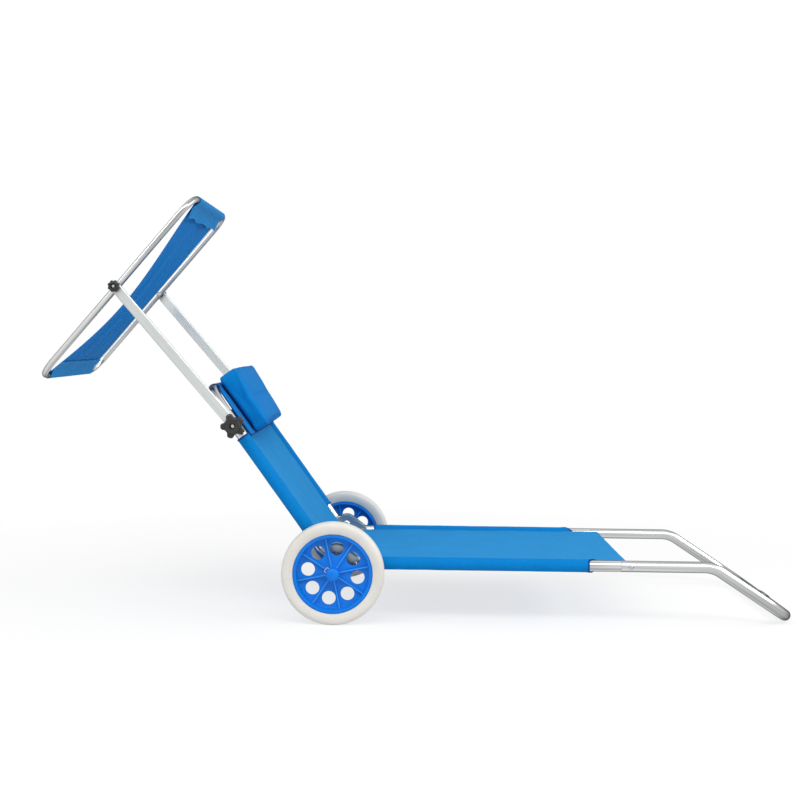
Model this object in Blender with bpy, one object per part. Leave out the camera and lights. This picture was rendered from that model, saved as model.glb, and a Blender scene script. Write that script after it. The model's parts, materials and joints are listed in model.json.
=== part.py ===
"""Folding beach cart: a low lounger on two wheels with a hinged back, a head pillow and a sun canopy.

X runs from the hinge to the foot end, Y to the sitter's left, Z up from the ground. The back, the arms
and the canopy are each drawn lying flat, running along -X from their own pivot with the sitter's side
up, and are then turned about Y into the open position.
"""
import math

import bmesh
import bpy
from mathutils import Matrix, Vector

for old in list(bpy.data.objects):
    bpy.data.objects.remove(old, do_unlink=True)

# Driving dimensions in metres, angles in degrees
FIT = 0.0003                # gap between pieces that touch
RAIL_SPACING = 0.420        # side tubes, centre to centre
TUBE_RADIUS = 0.011
TUBE_WALL = 0.0012
TUBE_SIDES = 16
SMALL_SIDES = 12            # fasteners and other small round pieces

# Wheels and axle
TYRE_RADIUS = 0.0975
TYRE_WIDTH = 0.032
TYRE_SIDES = 28
RIM_RADIUS = 0.0755
RIM_WIDTH = 0.029
RIM_FLANGE = 0.008          # thickness of the rim's hoop
RIM_WEB = 0.003             # thickness of the web
RIM_RIB_HEIGHT = 0.0055     # ribs stand this far from the web, on both faces
RIM_RIB_WIDTH = 0.0022
RIM_HUB_RADIUS = 0.0125
RIM_HOLES = 8
RIM_HOLE_RADIUS = 0.0130
RIM_HOLE_CIRCLE = 0.0475    # radius of the circle that the holes lie on
RIM_HOLE_TURN = -8.6
RIM_RIB_TURN = 12.0
BEAD_HEIGHT = 0.003         # ridge round the rim that keys the tyre
BEAD_WIDTH = 0.010
AXLE_RADIUS = 0.004
WASHER_RADIUS = 0.010
WASHER_WIDTH = 0.0048
CLIP_RADIUS = 0.0105
CLIP_SIDES = 6
CLIP_WIDTH = 0.0012
CAP_RADIUS = 0.0130
CAP_HEIGHT = 0.0095

# Seat frame
RAIL_ABOVE_AXLE = 0.0147
HINGE_X = 0.005             # hinge pivot ahead of the axle
HINGE_RISE = 0.015          # hinge pivot above the tube axes
RAIL_START = 0.024          # first end of the rail, from the hinge pivot
RAIL_JOINT_X = 0.550        # where the rail meets the foot bar
BEND_X = 0.728              # where the foot bar turns down
BEND_RADIUS = 0.060
FOOT_X = 0.880
FOOT_CORNER_RADIUS = 0.055
SOCKET_LENGTH = 0.042       # swaged end that takes the other half of the foot bar
SLOT_LENGTH = 0.036
SLOT_WIDTH = 0.004
SLOT_FROM_SOCKET = 0.010
SPIGOT_LENGTH = 0.090
SPIGOT_WALL = 0.0012
SCREW_X = 0.568
SCREW_RADIUS = 0.002
SCREW_HEAD_RADIUS = 0.0048
SCREW_HEAD_HEIGHT = 0.0022

# Hinge
PLATE = 0.0024
PLATE_PIVOT_RADIUS = 0.021
PLATE_END_RADIUS = 0.012
PIVOT_RADIUS = 0.004
PIVOT_HEAD_RADIUS = 0.0080
RIVET_RADIUS = 0.0025
RIVET_HEAD_RADIUS = 0.0050
HEAD_HEIGHT = 0.0020
RAIL_RIVET = 0.035          # from the pivot along the rail
LUG_RADIUS = 0.015
LUG_LENGTH = 0.027          # from the pivot to the end of the back tube
LUG_SPIGOT = 0.030
BACK_RIVET = 0.041          # from the pivot along the back tube

# Fabric
CLOTH = 0.0016
SLEEVE_WALL = 0.0013
PANEL_RISE = 0.0085         # sling panel above the tube axes
PANEL_SAG = 0.005
NOTCH = 0.022               # sling stands this far inside the tube axes beside the hinge
PANEL_COLUMNS = 9
SEAT_SLEEVE_START = 0.066
SEAT_SLEEVE_END = 0.489
SEAT_PANEL_START = 0.030
SEAT_PANEL_END = 0.565
BACK_SLEEVE_START = 0.058
BACK_SLEEVE_END = 0.289
BACK_PANEL_START = 0.026

# Back
BACK_ANGLE = 54.0           # above level, in the open position
BACK_LENGTH = 0.394         # pivot to the top bar's axis
BACK_CORNER_RADIUS = 0.045
PILLOW_START = 0.283
PILLOW_END = 0.413
PILLOW_HALF = 0.188
PILLOW_DEPTH = 0.043
PILLOW_PINCH = 0.010        # how far the sides draw in between the corners
STRAP = 0.0015
STRAP_TAIL = 0.060
STRAP_REAR_TAIL = 0.008

# Canopy arms
ARM_BOLT = 0.315            # pivot of the arms, along the back
ARM_LENGTH = 0.345
ARM_ANGLE = -5.0            # from the back, in the open position
ARM_WIDTH = 0.0195
ARM_THICKNESS = 0.006
ARM_EDGE = 0.0018
ARM_BOLT_RADIUS = 0.003
BOLT_HEAD_RADIUS = 0.0065
BOLT_HEAD_HEIGHT = 0.0032
SPACER_RADIUS = 0.0090
SPACER_WIDTH = 0.0030
STAR_RADIUS = 0.0195        # mean radius of the star knob
STAR_LOBE = 0.0043          # lobes and hollows, from the mean
STAR_LOBES = 5
STAR_HEIGHT = 0.0125
STAR_BOSS_RADIUS = 0.0140
STAR_BOSS_HEIGHT = 0.0040
STAR_TURN = 45.0

# Canopy
CANOPY_ANGLE = -98.7        # from the arms, in the open position
CANOPY_LENGTH = 0.4465      # end bars, centre to centre
CANOPY_TUBE_RADIUS = 0.00625
CANOPY_TUBE_WALL = 0.0010
CANOPY_TUBE_SIDES = 10
CANOPY_CORNER_RADIUS = 0.038
CANOPY_SEAM = 0.0006
CANOPY_SPIGOT = 0.060
CANOPY_SAG = 0.018
CANOPY_FOLD = 0.0030        # height of the lengthwise folds
CANOPY_FOLDS = 3
CANOPY_CLOTH_MARGIN = 0.004 # from the corner bends
CANOPY_BOLT_RADIUS = 0.0025
CANOPY_SPACER_RADIUS = 0.0070
CANOPY_KNOB_RADIUS = 0.0108
CANOPY_KNOB_LOBE = 0.0008
CANOPY_KNOB_LOBES = 8
CANOPY_KNOB_HEIGHT = 0.0105

# Places that follow from those sizes
SIDES = (("right", -1.0), ("left", 1.0))
HALF = RAIL_SPACING / 2
TUBE_BORE = TUBE_RADIUS - TUBE_WALL
AXLE_Z = TYRE_RADIUS * math.cos(math.pi / TYRE_SIDES)
RAIL_Z = AXLE_Z + RAIL_ABOVE_AXLE
HINGE_Z = RAIL_Z + HINGE_RISE
SOCKET_BORE = TUBE_RADIUS + FIT
SOCKET_RADIUS = SOCKET_BORE + TUBE_WALL
FOOT_Z = SOCKET_RADIUS
SLEEVE_BORE = TUBE_RADIUS + FIT
SLEEVE_RADIUS = SLEEVE_BORE + SLEEVE_WALL
# distances from the middle plane, going outwards at the hinge
INNER_PLATE = (HALF - TUBE_RADIUS - FIT - PLATE, HALF - TUBE_RADIUS - FIT)
OUTER_PLATE = (HALF + TUBE_RADIUS + FIT, HALF + TUBE_RADIUS + FIT + PLATE)
WASHER = (OUTER_PLATE[1] + FIT, OUTER_PLATE[1] + FIT + WASHER_WIDTH)
WHEEL_INNER = WASHER[1] + FIT
WHEEL_MIDDLE = WHEEL_INNER + TYRE_WIDTH / 2
CLIP = (WHEEL_INNER + TYRE_WIDTH + FIT, WHEEL_INNER + TYRE_WIDTH + FIT + CLIP_WIDTH)
AXLE_END = CLIP[1] + FIT + CAP_HEIGHT / 2
# distances from the middle plane, going outwards at the arms
SPACER = (HALF + TUBE_RADIUS + FIT, HALF + TUBE_RADIUS + FIT + SPACER_WIDTH)
ARM = (SPACER[1] + FIT, SPACER[1] + FIT + ARM_THICKNESS)
KNOB_FACE = ARM[1] + FIT
CANOPY_SPACER = (HALF + CANOPY_TUBE_RADIUS + FIT, SPACER[1])


# Scene helpers
def material(name, colour, roughness, metallic=0.0):
    finish = bpy.data.materials.new(name)
    finish.use_nodes = True
    shader = finish.node_tree.nodes["Principled BSDF"]
    shader.inputs["Base Color"].default_value = (*colour, 1.0)
    shader.inputs["Roughness"].default_value = roughness
    shader.inputs["Metallic"].default_value = metallic
    return finish


def empty(name, parent, location, turn=0.0):
    marker = bpy.data.objects.new(name, None)
    bpy.context.scene.collection.objects.link(marker)
    marker.parent = parent
    marker.location = location
    marker.rotation_euler = (0.0, math.radians(turn), 0.0)
    return marker


def piece(name, bm, finish, parent, location=(0.0, 0.0, 0.0)):
    bmesh.ops.recalc_face_normals(bm, faces=bm.faces)
    if bm.calc_volume(signed=True) < 0:
        bmesh.ops.reverse_faces(bm, faces=bm.faces)
    mesh = bpy.data.meshes.new(name)
    bm.to_mesh(mesh)
    bm.free()
    mesh.shade_smooth()
    mesh.set_sharp_from_angle(angle=math.radians(35))
    if finish is not None:
        mesh.materials.append(finish)
    obj = bpy.data.objects.new(name, mesh)
    bpy.context.scene.collection.objects.link(obj)
    obj.parent = parent
    obj.location = location
    return obj


def tool(name, bm, parent, location=(0.0, 0.0, 0.0)):
    obj = piece(name, bm, None, parent, location)
    obj.hide_render = True
    obj.display_type = "WIRE"
    return obj


def combine(obj, other, operation):
    step = obj.modifiers.new(operation.lower(), "BOOLEAN")
    step.operation = operation
    step.solver = "EXACT"
    step.object = other


# Shape helpers
def ring_faces(bm, rings, closed):
    count = len(rings)
    for i in range(count if closed else count - 1):
        a, b = rings[i], rings[(i + 1) % count]
        for j in range(max(len(a), len(b))):
            loop = [a[j % len(a)], a[(j + 1) % len(a)], b[(j + 1) % len(b)], b[j % len(b)]]
            corners = list(dict.fromkeys(loop))
            if len(corners) > 2:
                bm.faces.new(corners)


def turned(rings, sides, outward=1.0, turn=0.0):
    """Rings of (radius, y) round the Y axis; a radius may be a function of the angle, and 0 is a pole."""
    bm = bmesh.new()
    made = []
    for radius, y in rings:
        if radius == 0:
            made.append([bm.verts.new((0.0, y * outward, 0.0))])
            continue
        loop = []
        for k in range(sides):
            angle = 2 * math.pi * (k + 0.5) / sides + math.radians(turn)
            r = radius(angle) if callable(radius) else radius
            loop.append(bm.verts.new((r * math.cos(angle), y * outward, r * math.sin(angle))))
        made.append(loop)
    ring_faces(bm, made, closed=rings[0][0] != 0)
    return bm


def rod(radius, start, end, outward=1.0, sides=SMALL_SIDES):
    return turned([(0, start), (radius, start), (radius, end), (0, end)], sides, outward)


def washer(radius, bore, start, end, outward, sides=SMALL_SIDES + 4):
    return turned([(bore, start), (radius, start), (radius, end), (bore, end)], sides, outward)


def headed(radius, head, height, start, end, outward, second_head=True):
    """A rivet or bolt along Y with a domed head before its start, and one after its end if asked."""
    rings = [(0, start - height), (head * 0.6, start - height), (head, start)]
    rings += [(radius, start), (radius, end)]
    if second_head:
        rings += [(head, end), (head * 0.6, end + height), (0, end + height)]
    else:
        rings += [(0, end)]
    return turned(rings, SMALL_SIDES, outward)


def rounded(corners, radii, steps=4):
    """A path through the corners, each inner one eased by an arc of its radius."""
    path = [Vector(corners[0])]
    for i, radius in enumerate(radii, start=1):
        corner = Vector(corners[i])
        back = (Vector(corners[i - 1]) - corner).normalized()
        ahead = (Vector(corners[i + 1]) - corner).normalized()
        half_angle = back.angle(ahead) / 2
        centre = corner + (back + ahead).normalized() * radius / math.sin(half_angle)
        first = corner + back * radius / math.tan(half_angle) - centre
        axis = back.cross(ahead)
        sweep = -(math.pi - 2 * half_angle)
        for k in range(steps + 1):
            path.append(centre + Matrix.Rotation(sweep * k / steps, 3, axis) @ first)
    path.append(Vector(corners[-1]))
    return path


def tube(path, outer, bore, sides):
    """A hollow tube along the path; outer and bore are radii, or lists with one for each point."""
    bm = bmesh.new()
    outer = outer if isinstance(outer, list) else [outer] * len(path)
    bore = bore if isinstance(bore, list) else [bore] * len(path)
    tangents = []
    for i in range(len(path)):
        step = path[min(i + 1, len(path) - 1)] - path[max(i - 1, 0)]
        if 0 < i < len(path) - 1 and step.length > 0:
            step = (path[i + 1] - path[i]).normalized() + (path[i] - path[i - 1]).normalized()
        tangents.append(step.normalized())
    normal = tangents[0].orthogonal().normalized()
    for axis in (Vector((0, 1, 0)), Vector((0, 0, 1))):
        if abs(axis.dot(tangents[0])) < 0.1:
            normal = (axis - tangents[0] * axis.dot(tangents[0])).normalized()
            break
    outside, inside = [], []
    for i, point in enumerate(path):
        if i:
            normal = tangents[i - 1].rotation_difference(tangents[i]) @ normal
        binormal = tangents[i].cross(normal)
        spokes = []
        for k in range(sides):
            angle = 2 * math.pi * (k + 0.5) / sides
            spokes.append(normal * math.cos(angle) + binormal * math.sin(angle))
        outside.append([bm.verts.new(point + s * outer[i]) for s in spokes])
        inside.append([bm.verts.new(point + s * bore[i]) for s in spokes])
    ring_faces(bm, outside + inside[::-1], closed=True)
    return bm


def hull(points):
    bm = bmesh.new()
    for point in points:
        bm.verts.new(point)
    bmesh.ops.convex_hull(bm, input=bm.verts)
    return bm


def disc_points(x, z, radius, y_pair, sides=TUBE_SIDES):
    points = []
    for k in range(sides):
        angle = 2 * math.pi * k / sides
        for y in y_pair:
            points.append((x + radius * math.cos(angle), y, z + radius * math.sin(angle)))
    return points


def sheet(grid, thickness):
    """A closed sheet of even thickness over a grid of points, with the thickness along the normals."""
    rows, columns = len(grid), len(grid[0])
    bm = bmesh.new()
    faces = ([], [])
    for i in range(rows):
        upper, lower = [], []
        for j in range(columns):
            along = grid[min(i + 1, rows - 1)][j] - grid[max(i - 1, 0)][j]
            across = grid[i][min(j + 1, columns - 1)] - grid[i][max(j - 1, 0)]
            lift = along.cross(across).normalized() * thickness / 2
            upper.append(bm.verts.new(grid[i][j] + lift))
            lower.append(bm.verts.new(grid[i][j] - lift))
        faces[0].append(upper)
        faces[1].append(lower)
    for side in faces:
        for i in range(rows - 1):
            for j in range(columns - 1):
                bm.faces.new((side[i][j], side[i][j + 1], side[i + 1][j + 1], side[i + 1][j]))
    edge = [(i, 0) for i in range(rows)] + [(rows - 1, j) for j in range(1, columns)]
    edge += [(i, columns - 1) for i in range(rows - 2, -1, -1)] + [(0, j) for j in range(columns - 2, 0, -1)]
    for k, (i, j) in enumerate(edge):
        m, n = edge[(k + 1) % len(edge)]
        bm.faces.new((faces[0][i][j], faces[0][m][n], faces[1][m][n], faces[1][i][j]))
    return bm


def sling_panel(stations, height):
    """The panel between two side tubes: stations of (x, half width), sagging a little in the middle."""
    grid = []
    for x, half_width in stations:
        row = []
        for j in range(PANEL_COLUMNS + 1):
            share = 2 * j / PANEL_COLUMNS - 1
            sag = PANEL_SAG * (1 - share ** 2)
            row.append(Vector((x, half_width * share, height - sag)))
        grid.append(row)
    return sheet(grid, CLOTH)


def straight_sleeve(x_start, x_end, y, z):
    path = [Vector((x_start, y, z)), Vector((x_end, y, z))]
    return tube(path, SLEEVE_RADIUS, SLEEVE_BORE, TUBE_SIDES)


# Finishes
tube_metal = material("bright_tube", (0.72, 0.73, 0.74), 0.25, 1.0)
arm_metal = material("satin_arm", (0.68, 0.70, 0.69), 0.40, 1.0)
zinc = material("zinc_plate", (0.45, 0.53, 0.58), 0.38, 1.0)
steel = material("steel_fastener", (0.62, 0.63, 0.65), 0.30, 1.0)
rim_blue = material("rim_plastic", (0.0, 0.17, 0.75), 0.35)
tyre_white = material("tyre_foam", (0.80, 0.77, 0.72), 0.65)
cloth_blue = material("sling_cloth", (0.024, 0.26, 0.59), 0.85)
canopy_blue = material("canopy_cloth", (0.006, 0.14, 0.46), 0.85)
knob_black = material("knob_plastic", (0.035, 0.035, 0.033), 0.45)

# Groups: each empty lies on the axis that its pieces turn about
cart = empty("cart", None, (0.0, 0.0, 0.0))
axle_line = empty("axle_line", cart, (0.0, 0.0, AXLE_Z))
back_hinge = empty("back_hinge", cart, (HINGE_X, 0.0, HINGE_Z), BACK_ANGLE)
arm_hinge = empty("arm_hinge", back_hinge, (-ARM_BOLT, 0.0, -HINGE_RISE), ARM_ANGLE)
canopy_hinge = empty("canopy_hinge", arm_hinge, (-ARM_LENGTH, 0.0, 0.0), CANOPY_ANGLE)


def seat_tubes():
    rail_start = HINGE_X + RAIL_START
    socket_end = SOCKET_LENGTH / 2
    for side, out in SIDES:
        y = HALF * out
        path = [Vector((rail_start, y, RAIL_Z)), Vector((RAIL_JOINT_X - FIT, y, RAIL_Z))]
        rail = piece(f"seat_rail_{side}", tube(path, TUBE_RADIUS, TUBE_BORE, TUBE_SIDES), tube_metal, cart)
        rivet_hole = rod(RIVET_RADIUS + FIT, -TUBE_RADIUS * 2, TUBE_RADIUS * 2)
        hole = tool(f"rail_rivet_hole_{side}", rivet_hole, cart, (HINGE_X + RAIL_RIVET, y, RAIL_Z))
        combine(rail, hole, "DIFFERENCE")

        corners = [(RAIL_JOINT_X, y, RAIL_Z), (BEND_X, y, RAIL_Z), (FOOT_X, y, FOOT_Z), (FOOT_X, 0.0, FOOT_Z)]
        path = rounded(corners, [BEND_RADIUS, FOOT_CORNER_RADIUS])
        outer, bore = [TUBE_RADIUS] * len(path), [TUBE_BORE] * len(path)
        last = path.pop()
        if out < 0:
            steps = ((-socket_end - TUBE_WALL * 2, TUBE_RADIUS, TUBE_BORE), (-socket_end, SOCKET_RADIUS, TUBE_BORE),
                     (-socket_end + FIT, SOCKET_RADIUS, SOCKET_BORE), (socket_end, SOCKET_RADIUS, SOCKET_BORE))
        else:
            steps = ((-socket_end + TUBE_WALL, TUBE_RADIUS, TUBE_BORE),)
        path += [Vector((last.x, step[0], last.z)) for step in steps]
        outer[-1:] = [step[1] for step in steps]
        bore[-1:] = [step[2] for step in steps]
        foot = piece(f"foot_bar_{side}", tube(path, outer, bore, TUBE_SIDES), tube_metal, cart)

        path = [Vector((RAIL_JOINT_X + d * SPIGOT_LENGTH / 2, y, RAIL_Z)) for d in (-1, 1)]
        spigot_radius = TUBE_BORE - FIT
        spigot_tube = tube(path, spigot_radius, spigot_radius - SPIGOT_WALL, TUBE_SIDES)
        spigot = piece(f"rail_spigot_{side}", spigot_tube, tube_metal, cart)
        start = TUBE_RADIUS + FIT
        hole_rod = rod(SCREW_RADIUS + FIT, TUBE_BORE / 2, TUBE_RADIUS * 2, out)
        hole = tool(f"screw_hole_{side}", hole_rod, cart, (SCREW_X, y, RAIL_Z))
        combine(foot, hole, "DIFFERENCE")
        combine(spigot, hole, "DIFFERENCE")
        shank = headed(SCREW_RADIUS, SCREW_HEAD_RADIUS, SCREW_HEAD_HEIGHT, -start, -TUBE_BORE * 0.75, -out, False)
        piece(f"rail_screw_{side}", shank, steel, cart, (SCREW_X, y, RAIL_Z))
        if out > 0:
            slot_middle = socket_end + SLOT_FROM_SOCKET + SLOT_LENGTH / 2
            slot = hull([(-TUBE_RADIUS * 1.5 * a + SLOT_WIDTH / 2 * b, SLOT_LENGTH / 2 * c, TUBE_RADIUS * 1.5 * a)
                         for a in (0.2, 1) for b in (-1, 1) for c in (-1, 1)])
            combine(foot, tool("foot_slot", slot, cart, (FOOT_X, slot_middle, FOOT_Z)), "DIFFERENCE")


def hinges():
    lug_half = TUBE_RADIUS - FIT
    for side, out in SIDES:
        holes = []
        for name, x, z, radius in (("pivot", HINGE_X, HINGE_Z, PIVOT_RADIUS), ("axle", 0.0, AXLE_Z, AXLE_RADIUS),
                                   ("rivet", HINGE_X + RAIL_RIVET, RAIL_Z, RIVET_RADIUS)):
            through = rod(radius + FIT, INNER_PLATE[0] / 2, OUTER_PLATE[1] * 2, out)
            holes.append(tool(f"{name}_hole_{side}", through, cart, (x, 0.0, z)))
        for name, span in (("inner", INNER_PLATE), ("outer", OUTER_PLATE)):
            pair = (span[0] * out, span[1] * out)
            points = disc_points(HINGE_X, HINGE_Z, PLATE_PIVOT_RADIUS, pair)
            points += disc_points(0.0, AXLE_Z, PLATE_END_RADIUS, pair)
            points += disc_points(HINGE_X + RAIL_RIVET, RAIL_Z, PLATE_END_RADIUS, pair)
            plate = piece(f"hinge_plate_{name}_{side}", hull(points), zinc, cart)
            for hole in holes:
                combine(plate, hole, "DIFFERENCE")
        ends = (INNER_PLATE[0] - FIT, OUTER_PLATE[1] + FIT)
        pivot = headed(PIVOT_RADIUS, PIVOT_HEAD_RADIUS, HEAD_HEIGHT, *ends, out)
        piece(f"hinge_pivot_{side}", pivot, steel, cart, (HINGE_X, 0.0, HINGE_Z))
        rivet = headed(RIVET_RADIUS, RIVET_HEAD_RADIUS, HEAD_HEIGHT, *ends, out)
        piece(f"rail_rivet_{side}", rivet, steel, cart, (HINGE_X + RAIL_RIVET, 0.0, RAIL_Z))

        pair = (HALF * out - lug_half, HALF * out + lug_half)
        points = disc_points(0.0, 0.0, LUG_RADIUS, pair)
        for k in range(TUBE_SIDES):
            angle = 2 * math.pi * k / TUBE_SIDES
            edge = (HALF * out + lug_half * math.cos(angle), -HINGE_RISE + lug_half * math.sin(angle))
            points.append((-LUG_LENGTH, *edge))
        lug = piece(f"back_lug_{side}", hull(points), zinc, back_hinge)
        spigot = rod(TUBE_BORE - FIT, 0.0, LUG_SPIGOT + PLATE, sides=TUBE_SIDES)
        bmesh.ops.rotate(spigot, cent=(0, 0, 0), matrix=Matrix.Rotation(math.pi / 2, 3, "Z"), verts=spigot.verts)
        spigot_at = (-LUG_LENGTH + PLATE, HALF * out, -HINGE_RISE)
        combine(lug, tool(f"lug_spigot_{side}", spigot, back_hinge, spigot_at), "UNION")
        pivot_hole = rod(PIVOT_RADIUS + FIT, INNER_PLATE[0] / 2, OUTER_PLATE[1] * 2, out)
        combine(lug, tool(f"lug_pivot_hole_{side}", pivot_hole, back_hinge), "DIFFERENCE")
        rivet_hole = rod(RIVET_RADIUS + FIT, INNER_PLATE[0] / 2, OUTER_PLATE[1] * 2, out)
        hole = tool(f"back_rivet_hole_{side}", rivet_hole, back_hinge, (-BACK_RIVET, 0.0, -HINGE_RISE))
        combine(lug, hole, "DIFFERENCE")
        combine(bpy.data.objects["back_frame"], hole, "DIFFERENCE")
        ends = (HALF - TUBE_RADIUS - FIT, HALF + TUBE_RADIUS + FIT)
        rivet = headed(RIVET_RADIUS, RIVET_HEAD_RADIUS, HEAD_HEIGHT, *ends, out)
        piece(f"back_rivet_{side}", rivet, steel, back_hinge, (-BACK_RIVET, 0.0, -HINGE_RISE))


def wheels():
    piece("axle", rod(AXLE_RADIUS, -AXLE_END, AXLE_END), steel, axle_line)
    bore = AXLE_RADIUS + FIT
    half_tyre, half_rim, half_bead = TYRE_WIDTH / 2, RIM_WIDTH / 2, BEAD_WIDTH / 2
    seat = RIM_RADIUS + FIT
    groove = seat + BEAD_HEIGHT
    shoulder = TYRE_WIDTH / 4
    tread = [(seat, half_rim), (seat + shoulder / 3, half_tyre), (TYRE_RADIUS - shoulder, half_tyre),
             (TYRE_RADIUS - shoulder * 0.3, half_tyre - shoulder * 0.3), (TYRE_RADIUS, half_tyre - shoulder)]
    tyre_rings = tread + [(r, -y) for r, y in reversed(tread)]
    half_groove = half_bead + FIT
    tyre_rings += [(seat, -half_groove), (groove, -half_groove), (groove, half_groove), (seat, half_groove)]
    inner = RIM_RADIUS - RIM_FLANGE
    face = [(bore, half_tyre), (RIM_HUB_RADIUS * 0.94, half_tyre), (RIM_HUB_RADIUS, half_tyre - RIM_WEB / 2),
            (RIM_HUB_RADIUS * 1.06, RIM_WEB / 2), (inner - RIM_WEB / 2, RIM_WEB / 2), (inner, half_rim - RIM_WEB / 2),
            (inner + RIM_WEB / 2, half_rim), (RIM_RADIUS, half_rim), (RIM_RADIUS, half_bead),
            (RIM_RADIUS + BEAD_HEIGHT, half_bead)]
    rim_rings = face + [(r, -y) for r, y in reversed(face)]
    ribs, holes = bmesh.new(), bmesh.new()
    rib_reach = (RIM_HUB_RADIUS * 0.9, inner + RIM_FLANGE / 4)
    rib_half = RIM_WEB / 2 + RIM_RIB_HEIGHT
    for k in range(RIM_HOLES):
        spin = 2 * math.pi * k / RIM_HOLES
        rib_turn = Matrix.Rotation(-spin - math.radians(RIM_RIB_TURN), 4, "Y")
        size = Matrix.Diagonal((rib_reach[1] - rib_reach[0], rib_half * 2, RIM_RIB_WIDTH, 1.0))
        shift = Matrix.Translation(((rib_reach[0] + rib_reach[1]) / 2, 0.0, 0.0))
        bmesh.ops.create_cube(ribs, size=1.0, matrix=rib_turn @ shift @ size)
        angle = spin + math.radians(RIM_HOLE_TURN)
        centre = Vector((RIM_HOLE_CIRCLE * math.cos(angle), 0.0, RIM_HOLE_CIRCLE * math.sin(angle)))
        place = Matrix.Translation(centre) @ Matrix.Rotation(math.pi / 2, 4, "X")
        bmesh.ops.create_cone(holes, cap_ends=True, segments=SMALL_SIDES, radius1=RIM_HOLE_RADIUS, radius2=RIM_HOLE_RADIUS,
                              depth=TYRE_WIDTH, matrix=place)
    for side, out in SIDES:
        at = (0.0, WHEEL_MIDDLE * out, 0.0)
        piece(f"tyre_{side}", turned(tyre_rings, TYRE_SIDES, out), tyre_white, axle_line, at)
        rim = piece(f"rim_{side}", turned(rim_rings, TYRE_SIDES, out), rim_blue, axle_line, at)
        combine(rim, tool(f"rim_ribs_{side}", ribs.copy(), axle_line, at), "UNION")
        combine(rim, tool(f"rim_holes_{side}", holes.copy(), axle_line, at), "DIFFERENCE")
        piece(f"wheel_washer_{side}", washer(WASHER_RADIUS, bore, *WASHER, out), zinc, axle_line)
        clip_bore = bore / math.cos(math.pi / CLIP_SIDES)
        clip = washer(CLIP_RADIUS, clip_bore, *CLIP, out, CLIP_SIDES)
        piece(f"wheel_clip_{side}", clip, steel, axle_line)
        seat_face = CLIP[1] + FIT
        dome = [(bore, seat_face), (CAP_RADIUS, seat_face), (CAP_RADIUS, seat_face + CAP_HEIGHT * 0.35),
                (CAP_RADIUS * 0.92, seat_face + CAP_HEIGHT * 0.7), (CAP_RADIUS * 0.7, seat_face + CAP_HEIGHT * 0.93),
                (CAP_RADIUS * 0.35, seat_face + CAP_HEIGHT), (0, seat_face + CAP_HEIGHT)]
        dome = [(0, AXLE_END + FIT), (bore, AXLE_END + FIT)] + dome
        piece(f"hub_cap_{side}", turned(dome, SMALL_SIDES + 4, out), rim_blue, axle_line)


def slings():
    edge = HALF - math.sqrt(((SLEEVE_BORE + SLEEVE_RADIUS) / 2) ** 2 - PANEL_RISE ** 2)
    notch = HALF - NOTCH
    ease = NOTCH / 2
    stations = [(SEAT_PANEL_START, notch), (SEAT_SLEEVE_START - ease, notch), (SEAT_SLEEVE_START + ease, edge)]
    stations += [(SEAT_SLEEVE_END - ease, edge), (SEAT_PANEL_END, edge)]
    seat = piece("seat_sling", sling_panel(stations, RAIL_Z + PANEL_RISE), cloth_blue, cart)
    stations = [(-BACK_SLEEVE_END, edge), (-BACK_SLEEVE_START - ease, edge), (-BACK_SLEEVE_START + ease, notch)]
    stations += [(-BACK_PANEL_START, notch)]
    back = piece("back_sling", sling_panel(stations, PANEL_RISE - HINGE_RISE), cloth_blue, back_hinge)
    for side, out in SIDES:
        sleeve = straight_sleeve(SEAT_SLEEVE_START, SEAT_SLEEVE_END, HALF * out, RAIL_Z)
        combine(seat, tool(f"seat_sleeve_{side}", sleeve, cart), "UNION")
        sleeve = straight_sleeve(-BACK_SLEEVE_END, -BACK_SLEEVE_START, HALF * out, -HINGE_RISE)
        combine(back, tool(f"back_sleeve_{side}", sleeve, back_hinge), "UNION")


def back_tubes():
    corners = [(-LUG_LENGTH - FIT, -HALF, -HINGE_RISE), (-BACK_LENGTH, -HALF, -HINGE_RISE),
               (-BACK_LENGTH, HALF, -HINGE_RISE), (-LUG_LENGTH - FIT, HALF, -HINGE_RISE)]
    path = rounded(corners, [BACK_CORNER_RADIUS] * 2)
    frame = piece("back_frame", tube(path, TUBE_RADIUS, TUBE_BORE, TUBE_SIDES), tube_metal, back_hinge)
    hole = rod(ARM_BOLT_RADIUS + FIT, -HALF * 2, HALF * 2)
    combine(frame, tool("arm_bolt_hole", hole, back_hinge, (-ARM_BOLT, 0.0, -HINGE_RISE)), "DIFFERENCE")


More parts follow.
